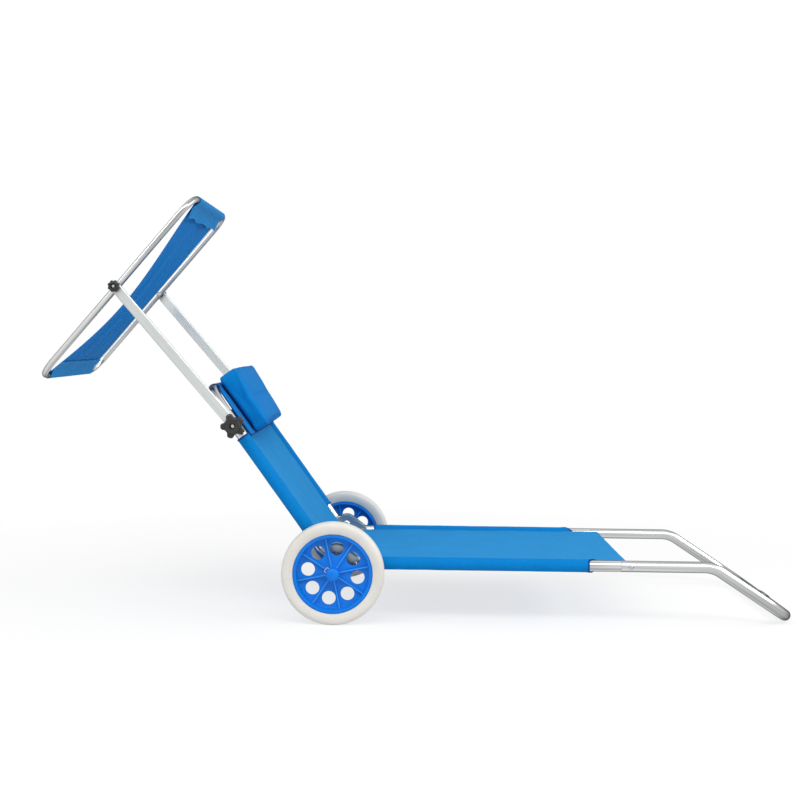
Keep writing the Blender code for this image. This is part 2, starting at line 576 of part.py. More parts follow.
def pillow():
    """A stuffed pillow: crowned front, flatter rear, sides drawn in between the corners."""
    rows, columns = 8, 14
    rear = -HINGE_RISE + TUBE_RADIUS + FIT + STRAP + FIT
    length = PILLOW_END - PILLOW_START
    middle = (PILLOW_START + PILLOW_END) / 2
    bm = bmesh.new()
    front, behind = [], []
    for i in range(rows + 1):
        u = -math.cos(math.pi * i / rows)
        front_row, rear_row = [], []
        for j in range(columns + 1):
            v = -math.cos(math.pi * j / columns)
            x = -middle - u * (length / 2 - PILLOW_PINCH / 2 * (1 - v ** 2) * abs(u))
            y = v * (PILLOW_HALF - PILLOW_PINCH * (1 - u ** 2) * abs(v))
            crown = math.sqrt(max(0.0, (1 - u ** 4) * (1 - v ** 8)))
            seam = rear + PILLOW_DEPTH * 0.3
            vert = bm.verts.new((x, y, seam + PILLOW_DEPTH * 0.7 * crown))
            front_row.append(vert)
            on_edge = i in (0, rows) or j in (0, columns)
            rear_row.append(vert if on_edge else bm.verts.new((x, y, seam - PILLOW_DEPTH * 0.3 * crown)))
        front.append(front_row)
        behind.append(rear_row)
    for side in (front, behind):
        for i in range(rows):
            for j in range(columns):
                bm.faces.new((side[i][j], side[i][j + 1], side[i + 1][j + 1], side[i + 1][j]))
    piece("pillow", bm, cloth_blue, back_hinge)

    middle_radius = TUBE_RADIUS + FIT + STRAP / 2
    profile = [(-BACK_LENGTH + STRAP_TAIL, middle_radius)]
    for k in range(13):
        angle = math.pi * k / 12
        profile.append((-BACK_LENGTH - middle_radius * math.sin(angle), middle_radius * math.cos(angle)))
    profile.append((-BACK_LENGTH + STRAP_REAR_TAIL, -middle_radius))
    reach = HALF - BACK_CORNER_RADIUS
    grid = [[Vector((x, y * reach, -HINGE_RISE + z)) for y in (-1, -0.5, 0, 0.5, 1)] for x, z in profile]
    piece("pillow_strap", sheet(grid, STRAP), cloth_blue, back_hinge)


def arms():
    for side, out in SIDES:
        pair = [y * out for y in ARM]
        outline = hull(disc_points(0.0, 0.0, ARM_WIDTH / 2, pair) + disc_points(-ARM_LENGTH, 0.0, ARM_WIDTH / 2, pair))
        arm = piece(f"canopy_arm_{side}", outline, arm_metal, arm_hinge)
        soften = arm.modifiers.new("soft_edges", "BEVEL")
        soften.width = ARM_EDGE
        soften.segments = 1
        soften.limit_method = "ANGLE"
        soften.angle_limit = math.radians(50)
        for name, x, radius in (("arm", 0.0, ARM_BOLT_RADIUS), ("canopy", -ARM_LENGTH, CANOPY_BOLT_RADIUS)):
            hole = rod(radius + FIT, ARM[0] - FIT * 2, ARM[1] + FIT * 2, out)
            combine(arm, tool(f"{name}_pivot_hole_{side}", hole, arm_hinge, (x, 0.0, 0.0)), "DIFFERENCE")

        at = (-ARM_BOLT, 0.0, -HINGE_RISE)
        end = KNOB_FACE + STAR_HEIGHT
        bolt = headed(ARM_BOLT_RADIUS, BOLT_HEAD_RADIUS, BOLT_HEAD_HEIGHT, HALF - TUBE_RADIUS - FIT, end, out, False)
        piece(f"arm_bolt_{side}", bolt, steel, back_hinge, at)
        ring = washer(SPACER_RADIUS, ARM_BOLT_RADIUS + FIT, *SPACER, out)
        piece(f"arm_spacer_{side}", ring, knob_black, back_hinge, at)
        knob(f"star_knob_{side}", out, back_hinge, at, STAR_RADIUS, STAR_LOBE, STAR_LOBES, 6, STAR_HEIGHT,
             ARM_BOLT_RADIUS + FIT, STAR_BOSS_RADIUS, STAR_BOSS_HEIGHT)


def knob(name, out, parent, at, radius, lobe, lobes, points, height, bore, boss, boss_height):
    """A lobed grip with a bevelled rim and a raised round boss round its bolt."""
    def outline(scale):
        turn = math.radians(STAR_TURN)
        return lambda angle: scale * (radius + lobe * math.cos(lobes * (angle - turn)))
    rings = [(bore, KNOB_FACE), (outline(0.95), KNOB_FACE), (outline(1.0), KNOB_FACE + height * 0.75)]
    rings += [(outline(0.88), KNOB_FACE + height), (boss, KNOB_FACE + height)]
    rings += [(boss * 0.93, KNOB_FACE + height + boss_height)]
    rings += [(bore * 1.6, KNOB_FACE + height + boss_height), (bore, KNOB_FACE + height)]
    piece(name, turned(rings, lobes * points, out), knob_black, parent, at)


def canopy():
    half_length = CANOPY_LENGTH / 2
    bore = CANOPY_TUBE_RADIUS - CANOPY_TUBE_WALL
    corners = [(half_length, CANOPY_SEAM / 2, 0.0), (half_length, HALF, 0.0), (-half_length, HALF, 0.0),
               (-half_length, -HALF, 0.0), (half_length, -HALF, 0.0), (half_length, -CANOPY_SEAM / 2, 0.0)]
    path = rounded(corners, [CANOPY_CORNER_RADIUS] * 4)
    frame = piece("canopy_frame", tube(path, CANOPY_TUBE_RADIUS, bore, CANOPY_TUBE_SIDES), tube_metal, canopy_hinge)
    hole = rod(CANOPY_BOLT_RADIUS + FIT, -HALF * 2, HALF * 2)
    combine(frame, tool("canopy_bolt_hole", hole, canopy_hinge), "DIFFERENCE")
    spigot = rod(bore - FIT, -CANOPY_SPIGOT / 2, CANOPY_SPIGOT / 2, sides=CANOPY_TUBE_SIDES)
    piece("canopy_spigot", spigot, steel, canopy_hinge, (half_length, 0.0, 0.0))

    sleeve_bore = CANOPY_TUBE_RADIUS + FIT
    sleeve_radius = sleeve_bore + SLEEVE_WALL
    reach = half_length - (sleeve_bore + sleeve_radius) / 2
    half_width = HALF - CANOPY_CORNER_RADIUS - CANOPY_CLOTH_MARGIN
    rows, columns = 10, 18
    grid = []
    for i in range(rows + 1):
        u = 2 * i / rows - 1
        hang = 1 - u ** 2
        row = []
        for j in range(columns + 1):
            v = 2 * j / columns - 1
            fold = CANOPY_FOLD * hang * math.cos(math.pi * CANOPY_FOLDS * v)
            row.append(Vector((reach * u, half_width * v, -CANOPY_SAG * hang * (1 - 0.15 * v ** 2) + fold)))
        grid.append(row)
    cloth = piece("canopy_cloth", sheet(grid, CLOTH), canopy_blue, canopy_hinge)
    for name, x in (("lower", -half_length), ("upper", half_length)):
        path = [Vector((x, -half_width, 0.0)), Vector((x, half_width, 0.0))]
        sleeve = tube(path, sleeve_radius, sleeve_bore, CANOPY_TUBE_SIDES)
        combine(cloth, tool(f"canopy_sleeve_{name}", sleeve, canopy_hinge), "UNION")

    for side, out in SIDES:
        end = KNOB_FACE + CANOPY_KNOB_HEIGHT
        start = HALF - CANOPY_TUBE_RADIUS - FIT
        bolt = headed(CANOPY_BOLT_RADIUS, BOLT_HEAD_RADIUS * 0.8, BOLT_HEAD_HEIGHT, start, end, out, False)
        piece(f"canopy_bolt_{side}", bolt, steel, canopy_hinge)
        ring = washer(CANOPY_SPACER_RADIUS, CANOPY_BOLT_RADIUS + FIT, *CANOPY_SPACER, out)
        piece(f"canopy_spacer_{side}", ring, knob_black, canopy_hinge)
        knob(f"canopy_knob_{side}", out, canopy_hinge, (0.0, 0.0, 0.0), CANOPY_KNOB_RADIUS, CANOPY_KNOB_LOBE,
             CANOPY_KNOB_LOBES, 3, CANOPY_KNOB_HEIGHT, CANOPY_BOLT_RADIUS + FIT, CANOPY_KNOB_RADIUS * 0.7, PLATE / 2)


def centre_on_ground():
    """Moves the cart along X so that the origin is under the middle of its whole length."""
    bpy.context.view_layer.update()
    reach = []
    for obj in bpy.context.scene.objects:
        if obj.type == "MESH" and not obj.hide_render:
            reach += [(obj.matrix_world @ Vector(vert.co)).x for vert in obj.data.vertices]
    cart.location.x = -(min(reach) + max(reach)) / 2


seat_tubes()
back_tubes()
hinges()
wheels()
slings()
pillow()
arms()
canopy()
centre_on_ground()
bpy.context.view_layer.update()
for pivot in (axle_line, back_hinge, arm_hinge, canopy_hinge):
    print(pivot.name, [round(value, 5) for value in pivot.matrix_world.translation])
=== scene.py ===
import json
import math

import bmesh
import bpy
import numpy as np
from mathutils import Matrix, Vector, noise


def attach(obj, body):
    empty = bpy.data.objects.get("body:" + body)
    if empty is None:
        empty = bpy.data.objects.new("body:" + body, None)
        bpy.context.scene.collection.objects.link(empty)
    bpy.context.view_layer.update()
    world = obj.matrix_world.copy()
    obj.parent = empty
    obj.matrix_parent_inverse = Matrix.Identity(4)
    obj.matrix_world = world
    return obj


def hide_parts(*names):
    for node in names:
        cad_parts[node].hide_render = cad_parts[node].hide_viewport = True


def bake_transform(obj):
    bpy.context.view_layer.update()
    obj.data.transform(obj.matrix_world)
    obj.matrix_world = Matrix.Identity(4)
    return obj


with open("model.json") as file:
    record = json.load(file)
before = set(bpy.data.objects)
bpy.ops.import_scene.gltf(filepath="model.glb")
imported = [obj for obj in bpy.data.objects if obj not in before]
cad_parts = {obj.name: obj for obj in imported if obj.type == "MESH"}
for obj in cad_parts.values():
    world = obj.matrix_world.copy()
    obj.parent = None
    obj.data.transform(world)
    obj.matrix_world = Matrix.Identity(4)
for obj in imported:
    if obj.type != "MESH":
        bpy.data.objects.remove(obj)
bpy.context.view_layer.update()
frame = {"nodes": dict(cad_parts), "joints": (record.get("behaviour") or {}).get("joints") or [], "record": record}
joints = {joint["name"]: Vector(joint["pos_m"]) for joint in frame["joints"]}
sides = (("right", -1.0), ("left", 1.0))
print("frame loaded:", len(frame["nodes"]), "solids")

# Pivots, and a flat drawing frame for each part that turns: it runs along -X with the sitter's side up
axleAt = joints["wheel_spin_right"]
hingeAt = joints["back_fold"]
armAt = joints["arm_swing"]
canopyAt = joints["canopy_turn"]
pose = {"backAngle": 54.0, "armAngle": 49.0, "canopyAngle": -49.7}


def turnedFrame(at, angle):
    return Matrix.Translation((at.x, 0.0, at.z)) @ Matrix.Rotation(math.radians(angle), 4, "Y")


seatFrame = Matrix.Translation((axleAt.x, 0.0, 0.0))
axleFrame = Matrix.Translation((axleAt.x, 0.0, axleAt.z))
backFrame = turnedFrame(hingeAt, pose["backAngle"])
armFrame = turnedFrame(armAt, pose["armAngle"])
canopyFrame = turnedFrame(canopyAt, pose["canopyAngle"])

# Sizes shared by several pieces, in metres
common = {"half": 0.210, "tubeRadius": 0.011, "tubeWall": 0.0012, "hingeRise": 0.015, "gap": 0.0003,
          "fit": 0.0002, "girth": 0.07}  # girth: UV width once round a tube
railHeight = hingeAt.z - common["hingeRise"]


# Small helpers for meshes
def addMesh(name, bm, finish, place=None, sharp=35, smooth=True):
    bmesh.ops.recalc_face_normals(bm, faces=bm.faces)
    mesh = bpy.data.meshes.new(name)
    bm.to_mesh(mesh)
    bm.free()
    if place is not None:
        mesh.transform(place)
    if smooth:
        mesh.shade_smooth()
        mesh.set_sharp_from_angle(angle=math.radians(sharp))
    mesh.materials.append(finish)
    obj = bpy.data.objects.new(name, mesh)
    bpy.context.scene.collection.objects.link(obj)
    return obj


def dress(obj, body, slot, *nodes):
    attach(obj, body)
    if nodes:
        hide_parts(*nodes)
    return obj


def ringFaces(bm, rings, closed):
    count = len(rings)
    for i in range(count if closed else count - 1):
        a, b = rings[i], rings[(i + 1) % count]
        for j in range(max(len(a), len(b))):
            loop = [a[j % len(a)], a[(j + 1) % len(a)], b[(j + 1) % len(b)], b[j % len(b)]]
            corners = list(dict.fromkeys(loop))
            if len(corners) > 2:
                bm.faces.new(corners)


def turnedMesh(rings, count, outward=1.0, at=0.0):
    bm = bmesh.new()
    made = []
    for radius, y in rings:
        if radius == 0:
            made.append([bm.verts.new((0.0, (y + at) * outward, 0.0))])
            continue
        loop = []
        for k in range(count):
            angle = 2 * math.pi * (k + 0.5) / count
            r = radius(angle) if callable(radius) else radius
            loop.append(bm.verts.new((r * math.cos(angle), (y + at) * outward, r * math.sin(angle))))
        made.append(loop)
    ringFaces(bm, made, closed=rings[0][0] != 0)
    return bm


def roundedPath(corners, radii, steps=14):
    path = [Vector(corners[0])]
    for i, radius in enumerate(radii, start=1):
        corner = Vector(corners[i])
        back = (Vector(corners[i - 1]) - corner).normalized()
        ahead = (Vector(corners[i + 1]) - corner).normalized()
        halfAngle = back.angle(ahead) / 2
        centre = corner + (back + ahead).normalized() * radius / math.sin(halfAngle)
        first = corner + back * radius / math.tan(halfAngle) - centre
        axis = back.cross(ahead)
        for k in range(steps + 1):
            turn = Matrix.Rotation(-(math.pi - 2 * halfAngle) * k / steps, 3, axis)
            path.append(centre + turn @ first)
    path.append(Vector(corners[-1]))
    return path


def sweptTube(path, outer, bore, count):
    # outer and bore are radii, or lists with one for each point; each radius may be a function of the angle
    bm = bmesh.new()
    uv = bm.loops.layers.uv.new("along")
    outer = outer if isinstance(outer, list) else [outer] * len(path)
    bore = bore if isinstance(bore, list) else [bore] * len(path)
    tangents = []
    for i in range(len(path)):
        before = path[i] - path[i - 1] if i else path[1] - path[0]
        after = path[i + 1] - path[i] if i < len(path) - 1 else before
        tangents.append((before.normalized() + after.normalized()).normalized())
    normal = tangents[0].orthogonal().normalized()
    for axis in (Vector((0, 1, 0)), Vector((0, 0, 1))):
        if abs(axis.dot(tangents[0])) < 0.1:
            normal = (axis - tangents[0] * axis.dot(tangents[0])).normalized()
            break
    outside, inside, along = [], [], [0.0]
    for i, point in enumerate(path):
        if i:
            normal = tangents[i - 1].rotation_difference(tangents[i]) @ normal
            along.append(along[-1] + (path[i] - path[i - 1]).length)
        binormal = tangents[i].cross(normal)
        rings = ([], [])
        for k in range(count):
            angle = 2 * math.pi * k / count
            spoke = normal * math.cos(angle) + binormal * math.sin(angle)
            for ring, radius in zip(rings, (outer[i], bore[i])):
                ring.append(bm.verts.new(point + spoke * (radius(angle) if callable(radius) else radius)))
        outside.append(rings[0])
        inside.append(rings[1])
    place = {}
    for wall in (outside, inside):
        for i, ring in enumerate(wall):
            for k, vert in enumerate(ring):
                place[vert] = (along[i], k / count)
    ringFaces(bm, outside + inside[::-1], closed=True)
    for face in bm.faces:
        around = [place[loop.vert][1] for loop in face.loops]
        wrap = max(around) - min(around) > 0.5
        for loop in face.loops:
            u, v = place[loop.vert]
            loop[uv].uv = (u, (v + 1.0 if wrap and v < 0.5 else v) * common["girth"])
    return bm


def clothSheet(grid, thickness, uvs):
    # a closed sheet of even thickness over a grid of points, with the flat cloth's own lengths as UVs
    rows, columns = len(grid), len(grid[0])
    bm = bmesh.new()
    layer = bm.loops.layers.uv.new("flat")
    sheets = ([], [])
    flat = {}
    for i in range(rows):
        upper, lower = [], []
        for j in range(columns):
            along = grid[min(i + 1, rows - 1)][j] - grid[max(i - 1, 0)][j]
            across = grid[i][min(j + 1, columns - 1)] - grid[i][max(j - 1, 0)]
            lift = along.cross(across).normalized() * thickness / 2
            for sheet, sign in ((upper, 1), (lower, -1)):
                vert = bm.verts.new(grid[i][j] + lift * sign)
                flat[vert] = uvs[i][j]
                sheet.append(vert)
        sheets[0].append(upper)
        sheets[1].append(lower)
    for sheet in sheets:
        for i in range(rows - 1):
            for j in range(columns - 1):
                bm.faces.new((sheet[i][j], sheet[i][j + 1], sheet[i + 1][j + 1], sheet[i + 1][j]))
    edge = [(i, 0) for i in range(rows)] + [(rows - 1, j) for j in range(1, columns)]
    edge += [(i, columns - 1) for i in range(rows - 2, -1, -1)] + [(0, j) for j in range(columns - 2, 0, -1)]
    for k, (i, j) in enumerate(edge):
        m, n = edge[(k + 1) % len(edge)]
        bm.faces.new((sheets[0][i][j], sheets[0][m][n], sheets[1][m][n], sheets[1][i][j]))
    for face in bm.faces:
        for loop in face.loops:
            loop[layer].uv = flat[loop.vert]
    return bm


def flatLengths(grid):
    # UVs in metres, measured along the rows and columns of a grid of points
    uvs = []
    for i, row in enumerate(grid):
        line = []
        for j, point in enumerate(row):
            u = uvs[i - 1][j][0] + (point - grid[i - 1][j]).length if i else 0.0
            v = line[j - 1][1] + (point - row[j - 1]).length if j else 0.0
            line.append((u, v))
        uvs.append(line)
    return uvs


def clothPiece(name, grid, thickness, finish, place):
    return addMesh(name, clothSheet(grid, thickness, flatLengths(grid)), finish, place, 60)


def evenSteps(count):
    # even steps from -1 to 1
    return [2 * k / count - 1 for k in range(count + 1)]


def clamped(share):
    return min(1.0, max(0.0, share))


def eased(share):
    return share * share * (3 - 2 * share)


def upOf(place):
    return (place.to_3x3() @ Vector((0.0, 0.0, 1.0))).normalized()


def softEdges(obj, width, segments=3, angle=40):
    step = obj.modifiers.new("softEdges", "BEVEL")
    step.width = width
    step.segments = segments
    step.limit_method = "ANGLE"
    step.angle_limit = math.radians(angle)
    return obj


def cut(obj, tool, operation="DIFFERENCE"):
    tool.hide_render = True
    step = obj.modifiers.new("cut", "BOOLEAN")
    step.operation = operation
    step.object = tool


def settle(obj):
    # modifiers are applied, so the mesh is final
    depsgraph = bpy.context.evaluated_depsgraph_get()
    mesh = bpy.data.meshes.new_from_object(obj.evaluated_get(depsgraph))
    obj.modifiers.clear()
    obj.data = mesh
    return obj


def hullMesh(points):
    bm = bmesh.new()
    for point in points:
        bm.verts.new(point)
    bmesh.ops.convex_hull(bm, input=bm.verts)
    bmesh.ops.dissolve_limit(bm, angle_limit=math.radians(1), verts=bm.verts, edges=bm.edges)
    return bm


def discPoints(x, z, radius, span, count=48):
    points = []
    for k in range(count):
        angle = 2 * math.pi * k / count
        for y in span:
            points.append((x + radius * math.cos(angle), y, z + radius * math.sin(angle)))
    return points


def stitchRow(name, points, normals, finish, body, slot, stitch=0.0032, pitch=0.0046, thick=0.00035):
    # a row of raised stitches along a seam
    bm = bmesh.new()
    travelled, due = 0.0, 0.0
    for a, b, normal in zip(points, points[1:], normals):
        step = b - a
        length = step.length
        if length == 0:
            continue
        way = step / length
        while due < travelled + length:
            centre = a + way * (due - travelled)
            side = way.cross(normal).normalized()
            turn = Matrix((way, side, normal)).transposed().to_4x4()
            size = Matrix.Diagonal((stitch, thick * 2.4, thick * 2, 1.0))
            bmesh.ops.create_cube(bm, size=1.0, matrix=Matrix.Translation(centre) @ turn @ size)
            due += pitch
        travelled += length
    obj = addMesh(name, bm, finish, smooth=False)
    return dress(obj, body, slot)


# Shader groups: each is built once and placed in several materials
def newGroup(name, inputs, outputs):
    group = bpy.data.node_groups.new(name, "ShaderNodeTree")
    for label, kind, value in inputs:
        socket = group.interface.new_socket(label, in_out="INPUT", socket_type=kind)
        socket.default_value = value
    for label, kind in outputs:
        group.interface.new_socket(label, in_out="OUTPUT", socket_type=kind)
    entry = group.nodes.new("NodeGroupInput")
    leave = group.nodes.new("NodeGroupOutput")
    return group, entry, leave


def addNode(tree, kind, settings=None, **sockets):
    node = tree.nodes.new(kind)
    for key, value in (settings or {}).items():
        setattr(node, key, value)
    for key, value in sockets.items():
        socket = node.inputs[int(key[1:])] if key[0] == "i" and key[1:].isdigit() else node.inputs[key]
        if isinstance(value, bpy.types.NodeSocket):
            tree.links.new(value, socket)
        else:
            socket.default_value = value
    return node


def mathNode(tree, operation, first, second=0.5):
    return addNode(tree, "ShaderNodeMath", {"operation": operation}, i0=first, i1=second).outputs[0]


def noiseNode(tree, where, scale, detail, roughness=0.5):
    return addNode(tree, "ShaderNodeTexNoise", Vector=where, Scale=scale, Detail=detail,
                   Roughness=roughness).outputs["Fac"]


def seenRays(tree):
    # camera, glossy and transmission rays all see the white background
    rays = addNode(tree, "ShaderNodeLightPath").outputs
    mirrored = mathNode(tree, "MAXIMUM", rays["Is Glossy Ray"], rays["Is Transmission Ray"])
    return mathNode(tree, "MAXIMUM", rays["Is Camera Ray"], mirrored)


floatSocket, vectorSocket = "NodeSocketFloat", "NodeSocketVector"


def makeWeave():
    # plain weave: warp and weft ribs that pass over each other, plus slow unevenness of the yarn
    inputs = [("Vector", vectorSocket, (0, 0, 0)), ("Threads", floatSocket, 900.0)]
    outputs = [("Height", floatSocket), ("Shade", floatSocket)]
    group, entry, leave = newGroup("plainWeave", inputs, outputs)
    split = addNode(group, "ShaderNodeSeparateXYZ", Vector=entry.outputs["Vector"])
    waves = []
    for axis in ("X", "Y"):
        turn = mathNode(group, "MULTIPLY", split.outputs[axis], entry.outputs["Threads"])
        waves.append(mathNode(group, "SINE", mathNode(group, "MULTIPLY", turn, 2 * math.pi)))
    over = mathNode(group, "MULTIPLY", waves[0], waves[1])
    slub = noiseNode(group, entry.outputs["Vector"], 140.0, 3.0, 0.6)
    blotch = noiseNode(group, entry.outputs["Vector"], 18.0, 2.0)
    height = mathNode(group, "ADD", mathNode(group, "MULTIPLY", over, 0.5), slub)
    shade = mathNode(group, "ADD", mathNode(group, "MULTIPLY", over, 0.12),
                     mathNode(group, "ADD", mathNode(group, "MULTIPLY", slub, 0.5),
                              mathNode(group, "MULTIPLY", blotch, 0.5)))
    group.links.new(height, leave.inputs["Height"])
    group.links.new(shade, leave.inputs["Shade"])
    return group


def makeGrain():
    # fine moulded grain, with slow wear patches
    group, entry, leave = newGroup("mouldGrain", [("Scale", floatSocket, 900.0)],
                                   [("Height", floatSocket), ("Wear", floatSocket)])
    where = addNode(group, "ShaderNodeTexCoord").outputs["Object"]
    group.links.new(noiseNode(group, where, entry.outputs["Scale"], 2.0), leave.inputs["Height"])
    group.links.new(noiseNode(group, where, 22.0, 5.0, 0.65), leave.inputs["Wear"])
    return group


def makeDrawn():
    # drawing lines along a tube or bar, from coordinates that run along it; the Streak output's long dark bands in
    # the colour are also a painted reflection on the bright tubes
    inputs = [("Vector", vectorSocket, (0, 0, 0)), ("Lines", floatSocket, 1400.0)]
    outputs = [("Height", floatSocket), ("Streak", floatSocket), ("Smear", floatSocket)]
    group, entry, leave = newGroup("drawnMetal", inputs, outputs)
    squeeze = addNode(group, "ShaderNodeVectorMath", {"operation": "MULTIPLY"}, i0=entry.outputs["Vector"])
    squeeze.inputs[1].default_value = (0.02, 1.0, 1.0)
    where = addNode(group, "ShaderNodeTexCoord").outputs["Object"]
    lines = noiseNode(group, squeeze.outputs[0], entry.outputs["Lines"], 2.0)
    group.links.new(lines, leave.inputs["Height"])
    group.links.new(noiseNode(group, squeeze.outputs[0], 95.0, 1.0), leave.inputs["Streak"])
    group.links.new(noiseNode(group, where, 35.0, 4.0, 0.6), leave.inputs["Smear"])
    return group


weaveGroup, grainGroup, drawnGroup = makeWeave(), makeGrain(), makeDrawn()


def newMaterial(name, roughness, metallic=0.0):
    finish = bpy.data.materials.new(name)
    finish.use_nodes = True
    shader = finish.node_tree.nodes["Principled BSDF"]
    shader.inputs["Roughness"].default_value = roughness
    shader.inputs["Metallic"].default_value = metallic
    return finish, finish.node_tree, shader


def colourRamp(tree, factor, *stops):
    ramp = addNode(tree, "ShaderNodeValToRGB", Fac=factor)
    elements = ramp.color_ramp.elements
    while len(elements) < len(stops):
        elements.new(0.5)
    for element, (position, colour) in zip(elements, stops):
        element.position = position
        element.color = (*colour, 1.0)
    return ramp.outputs["Color"]


def bumpFrom(tree, shader, height, distance):
    bump = addNode(tree, "ShaderNodeBump", Height=height, Strength=1.0, Distance=distance)
    tree.links.new(bump.outputs["Normal"], shader.inputs["Normal"])


def varied(tree, shader, factor, low, high):
    spread = addNode(tree, "ShaderNodeMapRange", Value=factor)
    spread.inputs["To Min"].default_value = low
    spread.inputs["To Max"].default_value = high
    tree.links.new(spread.outputs["Result"], shader.inputs["Roughness"])


def scaled(colour, amount):
    return tuple(channel * amount for channel in colour)


def clothMaterial(name, colour, threads=720.0, sheen=0.03, depth=0.00016):
    finish, tree, shader = newMaterial(name, 0.85)
    shader.inputs["Specular IOR Level"].default_value = 0.10
    shader.inputs["Sheen Weight"].default_value = sheen
    shader.inputs["Sheen Roughness"].default_value = 0.45
    shader.inputs["Sheen Tint"].default_value = (0.55, 0.78, 1.0, 1.0)
    where = addNode(tree, "ShaderNodeTexCoord")
    weave = addNode(tree, "ShaderNodeGroup", {"node_tree": weaveGroup}, Threads=threads,
                    Vector=where.outputs["UV"])
    tone = colourRamp(tree, weave.outputs["Shade"], (0.22, scaled(colour, 0.88)), (0.5, colour),
                      (0.8, scaled(colour, 1.13)))
    tree.links.new(tone, shader.inputs["Base Color"])
    varied(tree, shader, weave.outputs["Shade"], 0.78, 0.92)
    bumpFrom(tree, shader, weave.outputs["Height"], depth)
    return finish


def metalMaterial(name, colour, roughness, lines=1400.0, depth=0.00004, streakAndReflection=0.93):
    finish, tree, shader = newMaterial(name, roughness, 1.0)
    where = addNode(tree, "ShaderNodeTexCoord")
    drawn = addNode(tree, "ShaderNodeGroup", {"node_tree": drawnGroup}, Lines=lines,
                    Vector=where.outputs["UV"])
    # the colour darkens in long streaks along the tube: drawing marks, and where the darkening is strong, as on
    # the bright tubes, a painted reflection of dark bands
    tone = colourRamp(tree, drawn.outputs["Streak"], (0.38, scaled(colour, streakAndReflection)),
                      (0.58, scaled(colour, 1.04)))
    # the tint keeps the tubes' edges dark against the white surround
    shader.inputs["Specular Tint"].default_value = (0.18, 0.18, 0.19, 1.0)
    tree.links.new(tone, shader.inputs["Base Color"])
    varied(tree, shader, drawn.outputs["Smear"], roughness * 0.8, roughness * 1.3)
    bumpFrom(tree, shader, drawn.outputs["Height"], depth)
    return finish


def mouldedMaterial(name, colour, roughness, grain=900.0, depth=0.00006, lift=1.12, gloss=0.5):
    finish, tree, shader = newMaterial(name, roughness)
    shader.inputs["Specular IOR Level"].default_value = gloss
    moulded = addNode(tree, "ShaderNodeGroup", {"node_tree": grainGroup}, Scale=grain)
    tone = colourRamp(tree, moulded.outputs["Wear"], (0.3, scaled(colour, 0.92)),
                      (0.72, scaled(colour, lift)))
    tree.links.new(tone, shader.inputs["Base Color"])
    varied(tree, shader, moulded.outputs["Wear"], roughness * 0.85, roughness * 1.2)
    bumpFrom(tree, shader, moulded.outputs["Height"], depth)
    return finish


# the bright tubes' deep streaks (0.55) are a painted reflection of dark bands
brightTube = metalMaterial("brightTube", (0.66, 0.67, 0.67), 0.22, 500.0, 0.000001, 0.55)
satinArm = metalMaterial("satinArm", (0.62, 0.65, 0.64), 0.40, 900.0, 0.000006)
zincPlate = metalMaterial("zincPlate", (0.30, 0.37, 0.42), 0.36)
plainSteel = metalMaterial("plainSteel", (0.50, 0.51, 0.52), 0.28)
rimPlastic = mouldedMaterial("rimPlastic", (0.0, 0.165, 0.64), 0.38, gloss=0.22)
# a brighter copy of the rim plastic for the ribs' tops: a painted highlight
ribHighlightPlastic = mouldedMaterial("ribHighlightPlastic", (0.010, 0.260, 0.80), 0.32, gloss=0.4)
tyreFoam = mouldedMaterial("tyreFoam", (0.66, 0.64, 0.60), 0.62, 700.0, 0.00012, 1.04)
knobPlastic = mouldedMaterial("knobPlastic", (0.010, 0.010, 0.0095), 0.40, 1100.0, 0.0001, 1.6)
# the sling's panel and its sleeves are one cloth: the panel gets a lighter copy and the sleeves a darker one,
# painted light and shade
slingLitCloth = clothMaterial("slingLitCloth", (0.012, 0.240, 0.560))
sleeveShadedCloth = clothMaterial("sleeveShadedCloth", (0.000, 0.180, 0.510))
pillowCloth = clothMaterial("pillowCloth", (0.000, 0.172, 0.500))
canopyCloth = clothMaterial("canopyCloth", (0.000, 0.160, 0.480))
bandCloth = clothMaterial("bandCloth", (0.014, 0.205, 0.500))
# dark navy: the flap's binding, and painted shade on the sleeves' ends
bindingAndHemShade = clothMaterial("bindingAndHemShade", (0.002, 0.055, 0.230), threads=500.0)
threadCloth = mouldedMaterial("stitchThread", (0.004, 0.110, 0.400), 0.7, 2000.0)
print("finishes ready")

# Seat rails and foot bar
seatTube = {"start": 0.024, "joint": 0.550, "bend": 0.728, "bendRadius": 0.060, "foot": 0.880,
            "cornerRadius": 0.055, "footHeight": 0.0125, "facets": 48,
            "socket": 0.042, "socketRadius": 0.0126, "flare": 0.004, "flareRise": 1.05, "lip": 0.001,
            "insert": 0.002, "grooveFrom": 0.508, "grooveTo": 0.548, "grooveDepth": 0.0009,
            "grooveEnd": 0.001, "grooveCosine": 0.992, "slotSize": (0.004, 0.034, 0.012),
            "slotFrom": 0.028, "slotLean": -35.0}


